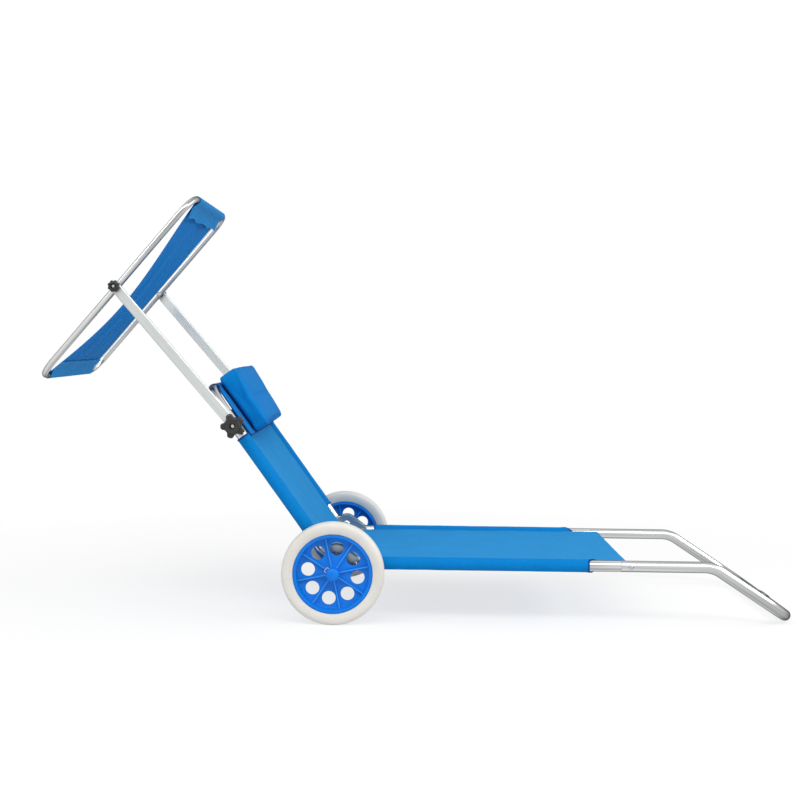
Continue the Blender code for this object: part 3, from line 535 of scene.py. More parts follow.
def buildSeatTubes():
    size = seatTube
    radius, bore = common["tubeRadius"], common["tubeRadius"] - common["tubeWall"]
    hingeX = hingeAt.x - axleAt.x
    for side, out in sides:
        y = common["half"] * out

        def grooved(angle):
            # a shallow rolled groove on the outer face of the rail, where the two tubes are locked
            toward = math.cos(angle) * out
            edge = size["grooveCosine"]
            return radius - size["grooveDepth"] * max(0.0, (toward - edge) / (1.0 - edge))
        stops = [hingeX + size["start"], size["grooveFrom"] - size["grooveEnd"], size["grooveFrom"],
                 size["grooveTo"], size["grooveTo"] + size["grooveEnd"], size["joint"] - common["gap"]]
        path = [Vector((x, y, railHeight)) for x in stops]
        outer = [radius, radius, grooved, grooved, radius, radius]
        tube = sweptTube(path, outer, bore, size["facets"])
        rail = addMesh(f"seatRail_{side}", tube, brightTube, seatFrame, 30)
        dress(rail, "seat_frame", "bright_tube", f"seat_rail_{side}")

        corners = [(size["joint"], y, railHeight), (size["bend"], y, railHeight),
                   (size["foot"], y, size["footHeight"]), (size["foot"], 0.0, size["footHeight"])]
        path = roundedPath(corners, [size["bendRadius"], size["cornerRadius"]])
        last = path.pop()
        end = size["socket"] / 2
        if out < 0:
            # the right bar widens into a socket
            flare, wide, lip = size["flare"], size["socketRadius"], size["lip"]
            steps = ((-end - flare, radius), (-end - flare / 2, radius * size["flareRise"]), (-end, wide),
                     (end - lip, wide), (end, wide - lip / 2))
        else:
            steps = ((-end + size["insert"], radius),)
        outer = [radius] * len(path) + [step[1] for step in steps]
        bores = [bore] * len(path) + [bore if out > 0 else radius + common["fit"]] * len(steps)
        path += [Vector((last.x, step[0], last.z)) for step in steps]
        tube = sweptTube(path, outer, bores, size["facets"])
        foot = addMesh(f"footBar_{side}", tube, brightTube, seatFrame, 30)
        if out > 0:
            slot = bmesh.new()
            lean = Matrix.Rotation(math.radians(size["slotLean"]), 4, "Y")
            spot = Matrix.Translation((size["foot"], end + size["slotFrom"], size["footHeight"])) @ lean
            spot = spot @ Matrix.Translation((0.0, 0.0, radius)) @ Matrix.Diagonal((*size["slotSize"], 1.0))
            bmesh.ops.create_cube(slot, size=1.0, matrix=spot)
            tool = addMesh("slotTool", slot, brightTube, seatFrame)
            cut(foot, tool)
            settle(foot)
            bpy.data.objects.remove(tool)
        dress(foot, "seat_frame", "bright_tube", f"foot_bar_{side}")


buildSeatTubes()
print("seat rails and foot bar made")

# Back frame and canopy frame
backTube = {"start": 0.0273, "length": 0.394, "cornerRadius": 0.045, "facets": 48}
canopyTube = {"length": 0.4465, "radius": 0.00625, "wall": 0.0010, "cornerRadius": 0.038, "facets": 32,
              "seam": 0.0006}


def buildLoops():
    radius, half, drop = common["tubeRadius"], common["half"], -common["hingeRise"]
    bore = radius - common["tubeWall"]
    corners = [(-backTube["start"], -half, drop), (-backTube["length"], -half, drop),
               (-backTube["length"], half, drop), (-backTube["start"], half, drop)]
    path = roundedPath(corners, [backTube["cornerRadius"]] * 2)
    back = addMesh("backFrame", sweptTube(path, radius, bore, backTube["facets"]), brightTube, backFrame, 30)
    dress(back, "backrest", "bright_tube", "back_frame")
    reach = canopyTube["length"] / 2
    seam = canopyTube["seam"] / 2
    corners = [(reach, seam, 0.0), (reach, half, 0.0), (-reach, half, 0.0), (-reach, -half, 0.0),
               (reach, -half, 0.0), (reach, -seam, 0.0)]
    path = roundedPath(corners, [canopyTube["cornerRadius"]] * 4)
    inner = canopyTube["radius"] - canopyTube["wall"]
    tube = sweptTube(path, canopyTube["radius"], inner, canopyTube["facets"])
    loop = addMesh("canopyFrame", tube, brightTube, canopyFrame, 30)
    dress(loop, "canopy", "bright_tube", "canopy_frame", "canopy_spigot")


buildLoops()
print("back frame and canopy frame made")

# Wheels: solid tyre on a moulded rim with eight ribs and eight round holes
wheel = {"tyreRadius": 0.0975, "tyreWidth": 0.032, "rimRadius": 0.0755, "rimWidth": 0.029, "flange": 0.0075,
         "web": 0.003, "hub": 0.0125, "bore": 0.0043, "ribHeight": 0.0055, "ribWidth": 0.0021,
         "ribTop": (0.004, 0.0065), "holes": 8, "holeRadius": 0.013, "holeCircle": 0.0475, "holeTurn": -8.6,
         "ribTurn": 12.0, "middle": 0.2451, "facets": 112, "shoulder": 0.010, "shoulderSteps": 8,
         "shoulderPower": 0.8, "ease": 0.0012, "edge": 0.0005}


def buildWheels():
    size = wheel
    halfTyre, halfRim, halfWeb = size["tyreWidth"] / 2, size["rimWidth"] / 2, size["web"] / 2
    seat = size["rimRadius"] + common["fit"]
    tread = [(seat, halfRim - 0.0006), (seat + 0.0008, halfRim + 0.0002)]
    shoulder, power, steps = size["shoulder"], size["shoulderPower"], size["shoulderSteps"]
    corner = (size["tyreRadius"] - shoulder, halfTyre - shoulder)
    for k in range(steps + 1):
        angle = math.radians(90 - 90 * k / steps)
        bulge = math.cos(angle) ** power if k else 0.0
        tread.append((corner[0] + shoulder * bulge, corner[1] + shoulder * math.sin(angle) ** power))
    tyreRings = tread + [(size["tyreRadius"] + common["fit"], 0.0)] + [(r, -y) for r, y in reversed(tread)]
    inner = size["rimRadius"] - size["flange"]
    ease = size["ease"]
    # one face of the rim, from the bore out to the tyre's seat: radius and height
    face = [(size["bore"], halfTyre), (size["hub"] * 0.9, halfTyre), (size["hub"], halfTyre - ease),
            (size["hub"] + 0.0008, halfWeb + ease), (size["hub"] + 0.0025, halfWeb), (inner - 0.003, halfWeb),
            (inner - 0.0012, halfWeb + ease), (inner, halfRim - 0.0035), (inner + ease * 0.4, halfRim - ease),
            (inner + ease * 1.4, halfRim), (inner + 0.0045, halfRim), (inner + 0.0052, halfRim - 0.0008),
            (size["rimRadius"] - 0.0007, halfRim - 0.0008), (size["rimRadius"], halfRim - 0.0015)]
    rimRings = face + [(r, -y) for r, y in reversed(face)]
    ribs, holes = bmesh.new(), bmesh.new()
    first, last = size["hub"] * 0.9, inner + 0.002
    for k in range(size["holes"]):
        spin = 2 * math.pi * k / size["holes"]
        turn = Matrix.Rotation(-spin - math.radians(size["ribTurn"]), 4, "Y")
        box = Matrix.Diagonal((last - first, (halfWeb + size["ribHeight"]) * 2, size["ribWidth"], 1.0))
        spot = turn @ Matrix.Translation(((first + last) / 2, 0.0, 0.0))
        bmesh.ops.create_cube(ribs, size=1.0, matrix=spot @ box)
        angle = spin + math.radians(size["holeTurn"])
        centre = Vector((size["holeCircle"] * math.cos(angle), 0.0, size["holeCircle"] * math.sin(angle)))
        place = Matrix.Translation(centre) @ Matrix.Rotation(math.pi / 2, 4, "X")
        bmesh.ops.create_cone(holes, cap_ends=True, segments=40, radius1=size["holeRadius"],
                              radius2=size["holeRadius"], depth=size["tyreWidth"], matrix=place)
    for side, out in sides:
        at = axleFrame @ Matrix.Translation((0.0, size["middle"] * out, 0.0))
        body = f"wheel_{side}"
        tyre = addMesh(f"tyre_body_{side}", turnedMesh(tyreRings, size["facets"], out), tyreFoam, at, 50)
        dress(tyre, body, "tyre_foam", f"tyre_{side}")
        rim = addMesh(f"rim_body_{side}", turnedMesh(rimRings, size["facets"], out), rimPlastic, at, 30)
        ribTool = addMesh(f"ribTool_{side}", ribs.copy(), rimPlastic, at)
        holeTool = addMesh(f"holeTool_{side}", holes.copy(), rimPlastic, at)
        cut(rim, ribTool, "UNION")
        cut(rim, holeTool)
        softEdges(rim, size["edge"], 2, 50)
        settle(rim)
        rim.data.shade_smooth()
        rim.data.set_sharp_from_angle(angle=math.radians(40))
        for tool in (ribTool, holeTool):
            bpy.data.objects.remove(tool)
        rim.data.materials.append(ribHighlightPlastic)  # the ribs' tops get a brighter copy of the rim plastic: a painted highlight
        # faces at the ribs' top height that face sideways take the painted highlight
        low, high = size["ribTop"]
        for face in rim.data.polygons:
            spot = at.inverted() @ face.center
            rise = abs(spot.y) - halfWeb
            if abs(face.normal.y) > 0.5 and low < rise < high and spot.length < inner:
                face.material_index = 1
        dress(rim, body, "rim_plastic", f"rim_{side}")


buildWheels()
print("wheels made")

# Hub caps, spring clips under them
hub = {"capFace": 0.2628, "capRadius": 0.0130, "capHeight": 0.0090, "capBore": 0.0043, "capInside": 0.0042,
       "capSkirt": 0.25, "capSteps": 8, "clipFace": 0.2614, "clipHalf": 0.0088, "clipThick": 0.0012,
       "clipLean": 38.0, "prongs": ((-0.0125, 0.0045, 0.009, 0.0016),
                                    (-0.0125, -0.0045, 0.009, 0.0016), (-0.0162, 0.0, 0.0016, 0.0106))}


def buildHubs():
    size = hub
    for side, out in sides:
        skirt, steps = size["capSkirt"], size["capSteps"]
        dome = [(0, size["capInside"]), (size["capBore"], size["capInside"]), (size["capBore"], 0.0),
                (size["capRadius"], 0.0), (size["capRadius"], size["capHeight"] * skirt)]
        for k in range(1, steps + 1):
            angle = math.pi / 2 * k / steps
            dome.append((size["capRadius"] * math.cos(angle) if k < steps else 0,
                         size["capHeight"] * (skirt + (1 - skirt) * math.sin(angle))))
        cap = addMesh(f"hubCap_{side}", turnedMesh(dome, 40, out, size["capFace"]), rimPlastic, axleFrame, 40)
        dress(cap, "seat_frame", "rim_plastic", f"hub_cap_{side}")
        clip = bmesh.new()
        lean = Matrix.Rotation(math.radians(size["clipLean"]), 4, "Y")
        spot = Matrix.Translation((0.0, (size["clipFace"] + size["clipThick"] / 2) * out, 0.0)) @ lean
        shape = Matrix.Diagonal((size["clipHalf"] * 2, size["clipThick"], size["clipHalf"] * 2, 1.0))
        bmesh.ops.create_cube(clip, size=1.0, matrix=spot @ shape)
        for along, across, wide, tall in size["prongs"]:
            shape = Matrix.Diagonal((wide, size["clipThick"], tall, 1.0))
            shape = Matrix.Translation((along, 0.0, across)) @ shape
            bmesh.ops.create_cube(clip, size=1.0, matrix=spot @ shape)
        plate = softEdges(addMesh(f"hubClip_{side}", clip, plainSteel, axleFrame), 0.0004, 2)
        dress(plate, "seat_frame", "steel_fastener", f"wheel_clip_{side}")


buildHubs()
print("hub caps made")

# Hinges: two zinc plates a side, and the lug that plugs into the back tube
hinge = {"pivotRadius": 0.021, "endRadius": 0.012, "rivet": 0.035, "plate": 0.0024, "plateEdge": 0.0006,
         "lugRadius": 0.015, "lugLength": 0.027, "lugFacets": 40, "lugEdge": 0.0012}


def buildHinges():
    size = hinge
    half, radius, gap = common["half"], common["tubeRadius"], common["gap"]
    pivot = (hingeAt.x, hingeAt.z)
    rivet = (hingeAt.x + size["rivet"], railHeight)
    spans = {"inner": (half - radius - gap - size["plate"], half - radius - gap),
             "outer": (half + radius + gap, half + radius + gap + size["plate"])}
    for side, out in sides:
        for name, span in spans.items():
            pair = (span[0] * out, span[1] * out)
            points = discPoints(*pivot, size["pivotRadius"], pair)
            points += discPoints(axleAt.x, axleAt.z, size["endRadius"], pair)
            points += discPoints(*rivet, size["endRadius"], pair)
            plate = addMesh(f"hingePlate_{name}_{side}", hullMesh(points), zincPlate)
            softEdges(plate, size["plateEdge"])
            dress(plate, "seat_frame", "zinc_plate", f"hinge_plate_{name}_{side}")
        lugHalf = radius - gap
        pair = (half * out - lugHalf, half * out + lugHalf)
        points = discPoints(0.0, 0.0, size["lugRadius"], pair)
        for k in range(size["lugFacets"]):
            angle = 2 * math.pi * k / size["lugFacets"]
            points.append((-size["lugLength"], half * out + lugHalf * math.cos(angle),
                           -common["hingeRise"] + lugHalf * math.sin(angle)))
        lug = addMesh(f"backLug_{side}", hullMesh(points), zincPlate, backFrame)
        softEdges(lug, size["lugEdge"], 3, 50)
        dress(lug, "backrest", "zinc_plate", f"back_lug_{side}")


buildHinges()
print("hinges made")

# Canopy arms and knobs
arm = {"length": 0.345, "width": 0.0195, "inner": 0.2246, "thickness": 0.006, "edge": 0.0019}
starKnob = {"radius": 0.0202, "lobe": 0.0035, "lobes": 5, "height": 0.0125, "boss": 0.0145,
            "bossHeight": 0.0042, "bore": 0.0048, "face": 0.2309, "turn": 17.0, "steep": 1.8}
smallKnob = {"radius": 0.0108, "lobe": 0.0008, "lobes": 8, "height": 0.0100, "boss": 0.0078,
             "bossHeight": 0.0012, "bore": 0.0040, "face": 0.2309, "turn": 20.0, "steep": 1.8}
knobFlank = ((0.90, 0.0), (0.97, 0.06), (1.0, 0.2), (1.0, 0.70), (0.985, 0.85), (0.93, 0.96))  # width, height


def knobMesh(size, out):
    def outline(scale, flatten=1.0):
        turn, steep = math.radians(size["turn"]), size["steep"]

        def radius(angle):
            wave = math.tanh(steep * math.cos(size["lobes"] * (angle - turn))) / math.tanh(steep)
            return scale * (size["radius"] + size["lobe"] * flatten * wave)
        return radius
    face, height, boss, bore = size["face"], size["height"], size["boss"], size["bore"]
    top = face + height
    rings = [(bore, face)] + [(outline(wide), face + height * share) for wide, share in knobFlank]
    rings += [(outline(0.87, 0.9), top), (boss * 1.06, face + height * 0.97), (boss, top)]
    rings += [(boss * 0.98, top + size["bossHeight"] * 0.8), (boss * 0.93, top + size["bossHeight"])]
    rings += [(bore * 1.25, top + size["bossHeight"] * 0.8), (bore, face + height * 0.9)]
    return turnedMesh(rings, size["lobes"] * 24, out)


def buildArms():
    for side, out in sides:
        pair = (arm["inner"] * out, (arm["inner"] + arm["thickness"]) * out)
        points = discPoints(0.0, 0.0, arm["width"] / 2, pair)
        points += discPoints(-arm["length"], 0.0, arm["width"] / 2, pair)
        bar = hullMesh(points)
        layer = bar.loops.layers.uv.new("along")
        for face in bar.faces:
            for loop in face.loops:
                loop[layer].uv = (loop.vert.co.x, loop.vert.co.z + loop.vert.co.y)
        bar = softEdges(addMesh(f"canopyArm_{side}", bar, satinArm, armFrame), arm["edge"])
        dress(bar, "canopy_arms", "satin_arm", f"canopy_arm_{side}")
        star = addMesh(f"starKnob_{side}", knobMesh(starKnob, out), knobPlastic, armFrame, 40)
        dress(star, f"star_knob_{side}", "knob_plastic", f"star_knob_{side}")
        small = addMesh(f"canopyKnob_{side}", knobMesh(smallKnob, out), knobPlastic, canopyFrame, 40)
        dress(small, f"canopy_knob_{side}", "knob_plastic", f"canopy_knob_{side}")


buildArms()
print("arms and knobs made")

# Sling: one stretched sheet from the top of the back to the foot end, with sleeves round the tubes
sling = {"cloth": 0.0013, "rise": 0.0046, "sag": 0.0008, "edge": 0.1988, "notch": 0.184, "ease": 0.012,
         "seatSleeve": (0.066, 0.489), "seatEnd": 0.565, "seatRows": 60, "turnFrom": 0.026, "turnRows": 12,
         "backSleeve": (0.058, 0.289), "backTaper": 0.303, "backEnd": 0.345, "backRows": 40, "columns": 40,
         "bendRows": (57, 75), "sleeveRadius": 0.0124, "sleeveSteps": 44, "sleeveCrease": 0.00035,
         "hem": 0.0035, "hemRise": 0.0007, "slant": 0.022, "slantFrom": 0.045, "seamInset": 0.010}


def slingLine():
    # the sheet's middle line in X and Z, from the foot end to the top of the back, with its half width
    size = sling
    hingeX = hingeAt.x - axleAt.x
    height = railHeight + size["rise"]
    line = []

    def halfWidth(along, sleeve, last):
        share = min(clamped((along - sleeve[0] + size["ease"]) / (2 * size["ease"])),
                    clamped((last - along) / size["ease"]))
        return size["notch"] + (size["edge"] - size["notch"]) * eased(share)
    for k in range(size["seatRows"] + 1):
        x = size["seatEnd"] + (hingeX + size["turnFrom"] - size["seatEnd"]) * k / size["seatRows"]
        line.append((Vector((x, 0.0, height)), halfWidth(x, size["seatSleeve"], 1.0)))
    lift = size["rise"] - common["hingeRise"]
    toBack = seatFrame.inverted() @ backFrame
    backLine = []
    for k in range(size["backRows"] + 1):
        s = size["turnFrom"] + (size["backEnd"] - size["turnFrom"]) * k / size["backRows"]
        width = halfWidth(s, size["backSleeve"], size["backTaper"])
        backLine.append((toBack @ Vector((-s, 0.0, lift)), width))
    start, end = line[-1][0], backLine[0][0]
    middle = toBack @ Vector((0.0, 0.0, lift))
    for k in range(1, size["turnRows"]):
        t = k / size["turnRows"]
        point = start * (1 - t) ** 2 + middle * 2 * t * (1 - t) + end * t * t
        line.append((point, size["notch"]))
    return line + backLine


def buildSling():
    size = sling
    line = slingLine()
    grid = []
    for i, (point, width) in enumerate(line):
        before = line[max(i - 1, 0)][0]
        after = line[min(i + 1, len(line) - 1)][0]
        way = (after - before).normalized()
        normal = Vector((0.0, 1.0, 0.0)).cross(way).normalized()
        if normal.z < 0:
            normal = -normal
        row = []
        for share in evenSteps(size["columns"]):
            dip = size["sag"] * (1 - share ** 2)
            ripple = 0.0005 * noise.noise(Vector((i * 0.12, share * 3.0, 4.0)))
            ripple += 0.0004 * noise.noise(Vector((i * 0.07, share * 16, 9.0)))
            row.append(point - normal * (dip - ripple) + Vector((0.0, width * share, 0.0)))
        grid.append(row)
    panel = clothPiece("slingPanel", grid, size["cloth"], slingLitCloth, seatFrame)
    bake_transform(panel)
    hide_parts("seat_sling", "back_sling")
    sleeves = []
    backSpan = [-along for along in reversed(size["backSleeve"])]
    runs = (("seat", size["seatSleeve"], seatFrame, "seat_frame", railHeight),
            ("back", backSpan, backFrame, "backrest", -common["hingeRise"]))
    seamAt = size["edge"] - size["seamInset"]
    seamRise = size["rise"] - size["sag"] * (1 - (seamAt / size["edge"]) ** 2) + size["cloth"] * 0.62
    for side, out in sides:
        for name, (first, last), place, body, z in runs:
            steps = size["sleeveSteps"]
            stops = [first + (last - first) * k / steps for k in range(1, steps)]
            stops = [first, first + size["hem"]] + stops + [last - size["hem"], last]
            path = [Vector((x, common["half"] * out, z)) for x in stops]

            def hug(x, seed=len(sleeves)):
                def radius(angle):
                    crease = noise.noise(Vector((x * 26.0, angle * 1.3, seed * 7.0)))
                    return size["sleeveRadius"] + size["sleeveCrease"] * crease
                return radius
            outer = [hug(point.x) for point in path]
            outer[0] = outer[1] = outer[-1] = outer[-2] = size["sleeveRadius"] + size["hemRise"]
            tube = sweptTube(path, outer, common["tubeRadius"] + common["fit"], 40)
            sleeve = addMesh(f"{name}Sleeve_{side}", tube, sleeveShadedCloth, None, 50)
            sleeve.data.materials.append(bindingAndHemShade)
            # the sleeves' ends take the dark tape colour over a raised hem: the dark band is painted shade along
            # the cut edge
            for face in sleeve.data.polygons:
                if min(face.center.x - first, last - face.center.x) < size["hem"] * 0.8:
                    face.material_index = 1
            if name == "seat":  # the foot end is cut aslant
                for vert in sleeve.data.vertices:
                    share = max(0.0, 1.0 - (last - vert.co.x) / size["slantFrom"])
                    inward = 0.5 - 0.5 * (vert.co.y - common["half"] * out) * out / size["sleeveRadius"]
                    vert.co.x += size["slant"] * share * max(0.0, inward) ** 2
            sleeve.data.transform(place)
            sleeves.append(dress(sleeve, body, "sling_cloth"))
            points = [place @ Vector((point.x, seamAt * out, z + seamRise)) for point in path]
            normals = [upOf(place)] * len(points)
            row = stitchRow(f"{name}Stitch_{side}", points, normals, threadCloth, body, "sling_cloth")
            sleeves.append(row)


buildSling()
print("sling made")

# Head pillow: a wedge, stuffed by a short cloth simulation
pillow = {"from": 0.2825, "to": 0.4080, "half": 0.147, "rear": 0.0004, "rearEnd": 0.0030, "front": 0.0375,
          "frontEnd": 0.0366, "wedge": 0.0048, "crown": 0.0012, "waist": 0.03, "box": 13.0, "around": 72,
          "columns": 48, "capInset": 0.004, "bodyInset": 0.016,
          "ends": ((0.003, 0.25), (0.0015, 0.5), (0.0015, 0.80), (0.003, 0.955), (0.007, 0.995)),
          "frames": 16, "pressure": 1.2, "swell": 0.0026, "groove": 0.0018, "grooveWidth": 0.0034,
          "ruck": 0.0006, "ruckWidth": 0.014, "crease": 0.0010,
          "endFrom": 0.022, "endBand": 0.012, "seamBand": 0.0025, "seamInset": 0.018}


def inflate(obj, frames, pressure, cap):
    rest = np.array([vert.co for vert in obj.data.vertices])
    cloth = obj.modifiers.new("stuffing", "CLOTH")
    settings = cloth.settings
    settings.use_pressure = True
    settings.uniform_pressure_force = pressure
    settings.effector_weights.gravity = 0.0
    settings.tension_stiffness = settings.compression_stiffness = 22.0
    settings.bending_stiffness = 0.4
    settings.shrink_min = -0.03
    cloth.point_cache.frame_end = frames
    scene = bpy.context.scene
    for number in range(1, frames + 1):
        scene.frame_set(number)
    depsgraph = bpy.context.evaluated_depsgraph_get()
    moved = np.array([vert.co for vert in obj.evaluated_get(depsgraph).data.vertices])
    obj.modifiers.remove(cloth)
    shift = moved - rest
    length = np.linalg.norm(shift, axis=1, keepdims=True)
    shift *= np.minimum(1.0, cap / np.maximum(length, 1e-9))
    for vert, new in zip(obj.data.vertices, rest + shift):
        vert.co = new
    scene.frame_set(1)


def localBox(node, place):
    corners = [place.inverted() @ vert.co for vert in frame["nodes"][node].data.vertices]
    return [Vector(tuple(pick(axis) for axis in zip(*corners))) for pick in (min, max)]


def buildPillow():
    size = pillow
    low, high = localBox("pillow", backFrame)
    middle = Vector((-(size["from"] + size["to"]) / 2, 0.0, (size["rear"] + size["front"]) / 2))
    reach = Vector(((size["to"] - size["from"]) / 2, size["half"], (size["front"] - size["rear"]) / 2))
    ends = ((size["capInset"], 0.0),) + size["ends"]
    ends = [(-reach.y + inset, share) for inset, share in ends]
    across = ends + [((reach.y - size["bodyInset"]) * step, 1.0) for step in evenSteps(size["columns"])]
    across += [(-y, share) for y, share in reversed(ends)]
    bm = bmesh.new()
    layer = bm.loops.layers.uv.new("flat")
    flat, loops = {}, []
    power = 2 / size["box"]
    for y, share in across:
        loop = []
        rear = size["rear"] + (size["rearEnd"] - size["rear"]) * abs(y / reach.y) ** 6
        front = size["front"] + (size["frontEnd"] - size["front"]) * abs(y / reach.y) ** 2.4
        for k in range(size["around"] if share else 1):
            angle = 2 * math.pi * k / size["around"]
            side, up = math.cos(angle), math.sin(angle)
            drawn = 1 + size["waist"] - size["waist"] * (y / reach.y) ** 2
            x = math.copysign(abs(side) ** power, side) * reach.x * share * drawn
            z = (rear + front) / 2 + math.copysign(abs(up) ** power, up) * (front - rear) / 2 * share
            if up > 0:
                z -= size["crown"] * (x / reach.x) ** 2 + size["wedge"] * x / reach.x
            vert = bm.verts.new((middle.x + x, y, z))
            flat[vert] = (angle / (2 * math.pi) * 0.33, y)
            loop.append(vert)
        loops.append(loop)
    ringFaces(bm, loops, closed=False)
    for face in bm.faces:
        for loop in face.loops:
            loop[layer].uv = flat[loop.vert]
    cushion = addMesh("headPillow", bm, pillowCloth, None, 70)
    inflate(cushion, size["frames"], size["pressure"], size["swell"])
    finer = cushion.modifiers.new("finer", "SUBSURF")
    finer.levels = finer.render_levels = 1
    settle(cushion)
    for vert in cushion.data.vertices:
        dx = vert.co.x - middle.x
        groove = math.exp(-(dx / size["grooveWidth"]) ** 2)
        onEnd = clamped((abs(vert.co.y) - reach.y + size["endFrom"]) / size["endBand"])
        crease = noise.noise(Vector((vert.co.x * 30, vert.co.y * 22, vert.co.z * 30)))
        ruck = math.exp(-(dx / size["ruckWidth"]) ** 2) * math.sin(vert.co.y * 310 + 3 * crease)
        if vert.co.z > middle.z:
            vert.co.z -= size["groove"] * groove - size["ruck"] * ruck - size["crease"] * crease
        vert.co.y -= math.copysign(onEnd * (size["groove"] * 0.7 * groove - 0.0008 * crease), vert.co.y)
        vert.co = Vector(tuple(min(max(c, l - 0.001), h + 0.002) for c, l, h in zip(vert.co, low, high)))
    seam = [vert.co.copy() for vert in cushion.data.vertices if vert.co.z > middle.z]
    seam = [point for point in seam if abs(point.x - middle.x) < size["seamBand"]]
    seam = [point for point in seam if abs(point.y) < reach.y - size["seamInset"]]
    seam.sort(key=lambda point: point.y)
    points = [backFrame @ Vector((middle.x, point.y, point.z + 0.0003)) for point in seam]
    cushion.data.transform(backFrame)
    cushion.data.shade_smooth()
    dress(cushion, "backrest", "pillow_cloth", "pillow")
    normals = [upOf(backFrame)] * len(points)
    stitchRow("pillowStitch", points, normals, threadCloth, "backrest", "pillow_cloth")


buildPillow()
print("pillow made")

# The pillow's flap: one layer behind the pillow that goes over the top bar, with bound edges
flap = {"cloth": 0.0013, "start": 0.280, "half": 0.201, "atBar": 0.160, "lift": 0.0012, "ease": 0.035,
        "wrap": 120.0, "rows": 32, "wrapRows": 24, "columns": 48, "ripple": 0.00025, "tape": 0.0028,
        "tapeOver": 0.0006, "tapeRise": 0.0009}


def buildFlap():
    size = flap
    radius = common["tubeRadius"] + common["gap"] + size["cloth"] / 2
    bar, drop = backTube["length"], -common["hingeRise"]
    profile = []
    for k in range(size["rows"]):
        along = size["start"] + (bar - size["start"]) * k / size["rows"]
        profile.append((-along, radius + size["lift"] * eased(clamped((bar - along) / size["ease"]))))
    for k in range(size["wrapRows"] + 1):
        angle = math.radians(size["wrap"]) * k / size["wrapRows"]
        profile.append((-bar - radius * math.sin(angle), radius * math.cos(angle)))

    def halfWidth(x):
        share = clamped(1 - (bar + x) / backTube["cornerRadius"])
        return size["atBar"] + (size["half"] - size["atBar"]) * math.sqrt(1 - share * share)
    grid = []
    for i, (x, z) in enumerate(profile):
        row = []
        for share in evenSteps(size["columns"]):
            wave = size["ripple"] * noise.noise(Vector((i * 0.4, share * 7, 2.0)))
            row.append(Vector((x, share * halfWidth(x), drop + z + wave)))
        grid.append(row)
    sheet = clothPiece("pillowFlap", grid, size["cloth"], pillowCloth, backFrame)
    dress(sheet, "backrest", "sling_cloth", "pillow_strap")
    reach = (-size["tapeOver"], size["tape"] / 2, size["tape"])
    # the foot tape binds the flap's bottom edge, and its dark colour there is also a painted shadow
    foot = list(zip(*grid[:3]))
    for name, edges in (("right", grid), ("left", [row[::-1] for row in grid]), ("foot", foot)):
        tape = []
        for row in edges:
            inward = (row[1] - row[0]).normalized()
            tape.append([row[0] + inward * far for far in reach])
        thick = size["cloth"] + size["tapeRise"]
        bound = clothPiece(f"pillowTape_{name}", tape, thick, bindingAndHemShade, backFrame)
        dress(bound, "backrest", "sling_cloth")


buildFlap()
print("pillow flap made")

# Canopy cloth: one sagging sheet between the end bars, with a turned band at each end
canopy = {"cloth": 0.0012, "sag": 0.0112, "fold": 0.0020, "halfWidth": 0.162, "waist": 0.34,
          "waistPower": 1.3, "waistShift": 0.45, "rows": 60, "columns": 72, "band": 0.036, "bandOver": 0.0015,
          "bandColumns": 48, "bandBarRows": 16, "bandFlapRows": 8, "bandGap": 0.0016, "bandWave": 0.0024}


clothRadius = canopyTube["radius"] + common["gap"] + canopy["cloth"] / 2


def canopyPoint(u, v):
    # u runs between the end bars and v across, both from -1 to 1
    size = canopy
    reach = canopyTube["length"] / 2 - clothRadius
    hang = 1 - u * u
    # the cloth draws in most a little below its middle
    drawn = hang ** size["waistPower"] * (1 - size["waistShift"] * u)
    gather = hang ** 0.7
    folds = math.cos(3 * math.pi * v + 0.5 * math.sin(2.5 * u))
    folds += 0.5 * math.cos(7.3 * math.pi * v + 1.2 * u + 0.6)
    ripple = 0.6 * noise.noise(Vector((u * 1.6, v * 9.0, 3.0)))
    depth = -size["sag"] * drawn * (1.0 - 0.16 * v * v) + size["fold"] * gather * (folds + ripple) * 0.7
    narrow = 1.0 - size["waist"] * drawn
    return Vector((reach * u, size["halfWidth"] * v * narrow, depth))


def buildCanopy():
    size = canopy
    grid = [[canopyPoint(u, v) for v in evenSteps(size["columns"])] for u in evenSteps(size["rows"])]
    sheet = clothPiece("canopySheet", grid, size["cloth"], canopyCloth, canopyFrame)
    dress(sheet, "canopy", "canopy_cloth", "canopy_cloth")
    bar = canopyTube["length"] / 2
    for name, end in (("upper", 1.0), ("lower", -1.0)):
        # round the bar first, then a loose flap under the sheet
        turns, drops = size["bandBarRows"], size["bandFlapRows"]
        rows = [("bar", math.pi * (1.0 - 1.5 * k / turns)) for k in range(turns + 1)]
        rows += [("flap", k / drops) for k in range(1, drops + 1)]
        grid = []
        for kind, value in rows:
            row = []
            for v in evenSteps(size["bandColumns"]):
                if kind == "bar":
                    x, z = bar + clothRadius * math.cos(value), clothRadius * math.sin(value)
                else:
                    free = value * value * (1.0 if end > 0 else 0.12)
                    x = bar - size["band"] * value + size["bandWave"] * math.sin(8.0 * v + 1.0) * free
                    below = canopyPoint(min(1.0, x / (bar - clothRadius)) * end, v)
                    lift = size["bandGap"] + free * (0.0058 + 0.0026 * math.sin(6.3 * v + 0.4))
                    share = eased(min(1.0, value * 2.0))
                    z = -clothRadius * (1 - share) + (below.z - lift) * share
                row.append(Vector((x * end, (size["halfWidth"] + size["bandOver"]) * v, z)))
            grid.append(row)
        band = clothPiece(f"canopyBand_{name}", grid, size["cloth"], bandCloth, canopyFrame)
        dress(band, "canopy", "canopy_cloth")
    stops = evenSteps(size["rows"])
    for u, nextU in zip(stops, stops[1:]):
        step = (canopyPoint(u, 0.0) - canopyPoint(nextU, 0.0)).length
        area += step * 2 * canopyPoint(u, 1.0).y


buildCanopy()
print("canopy cloth made")

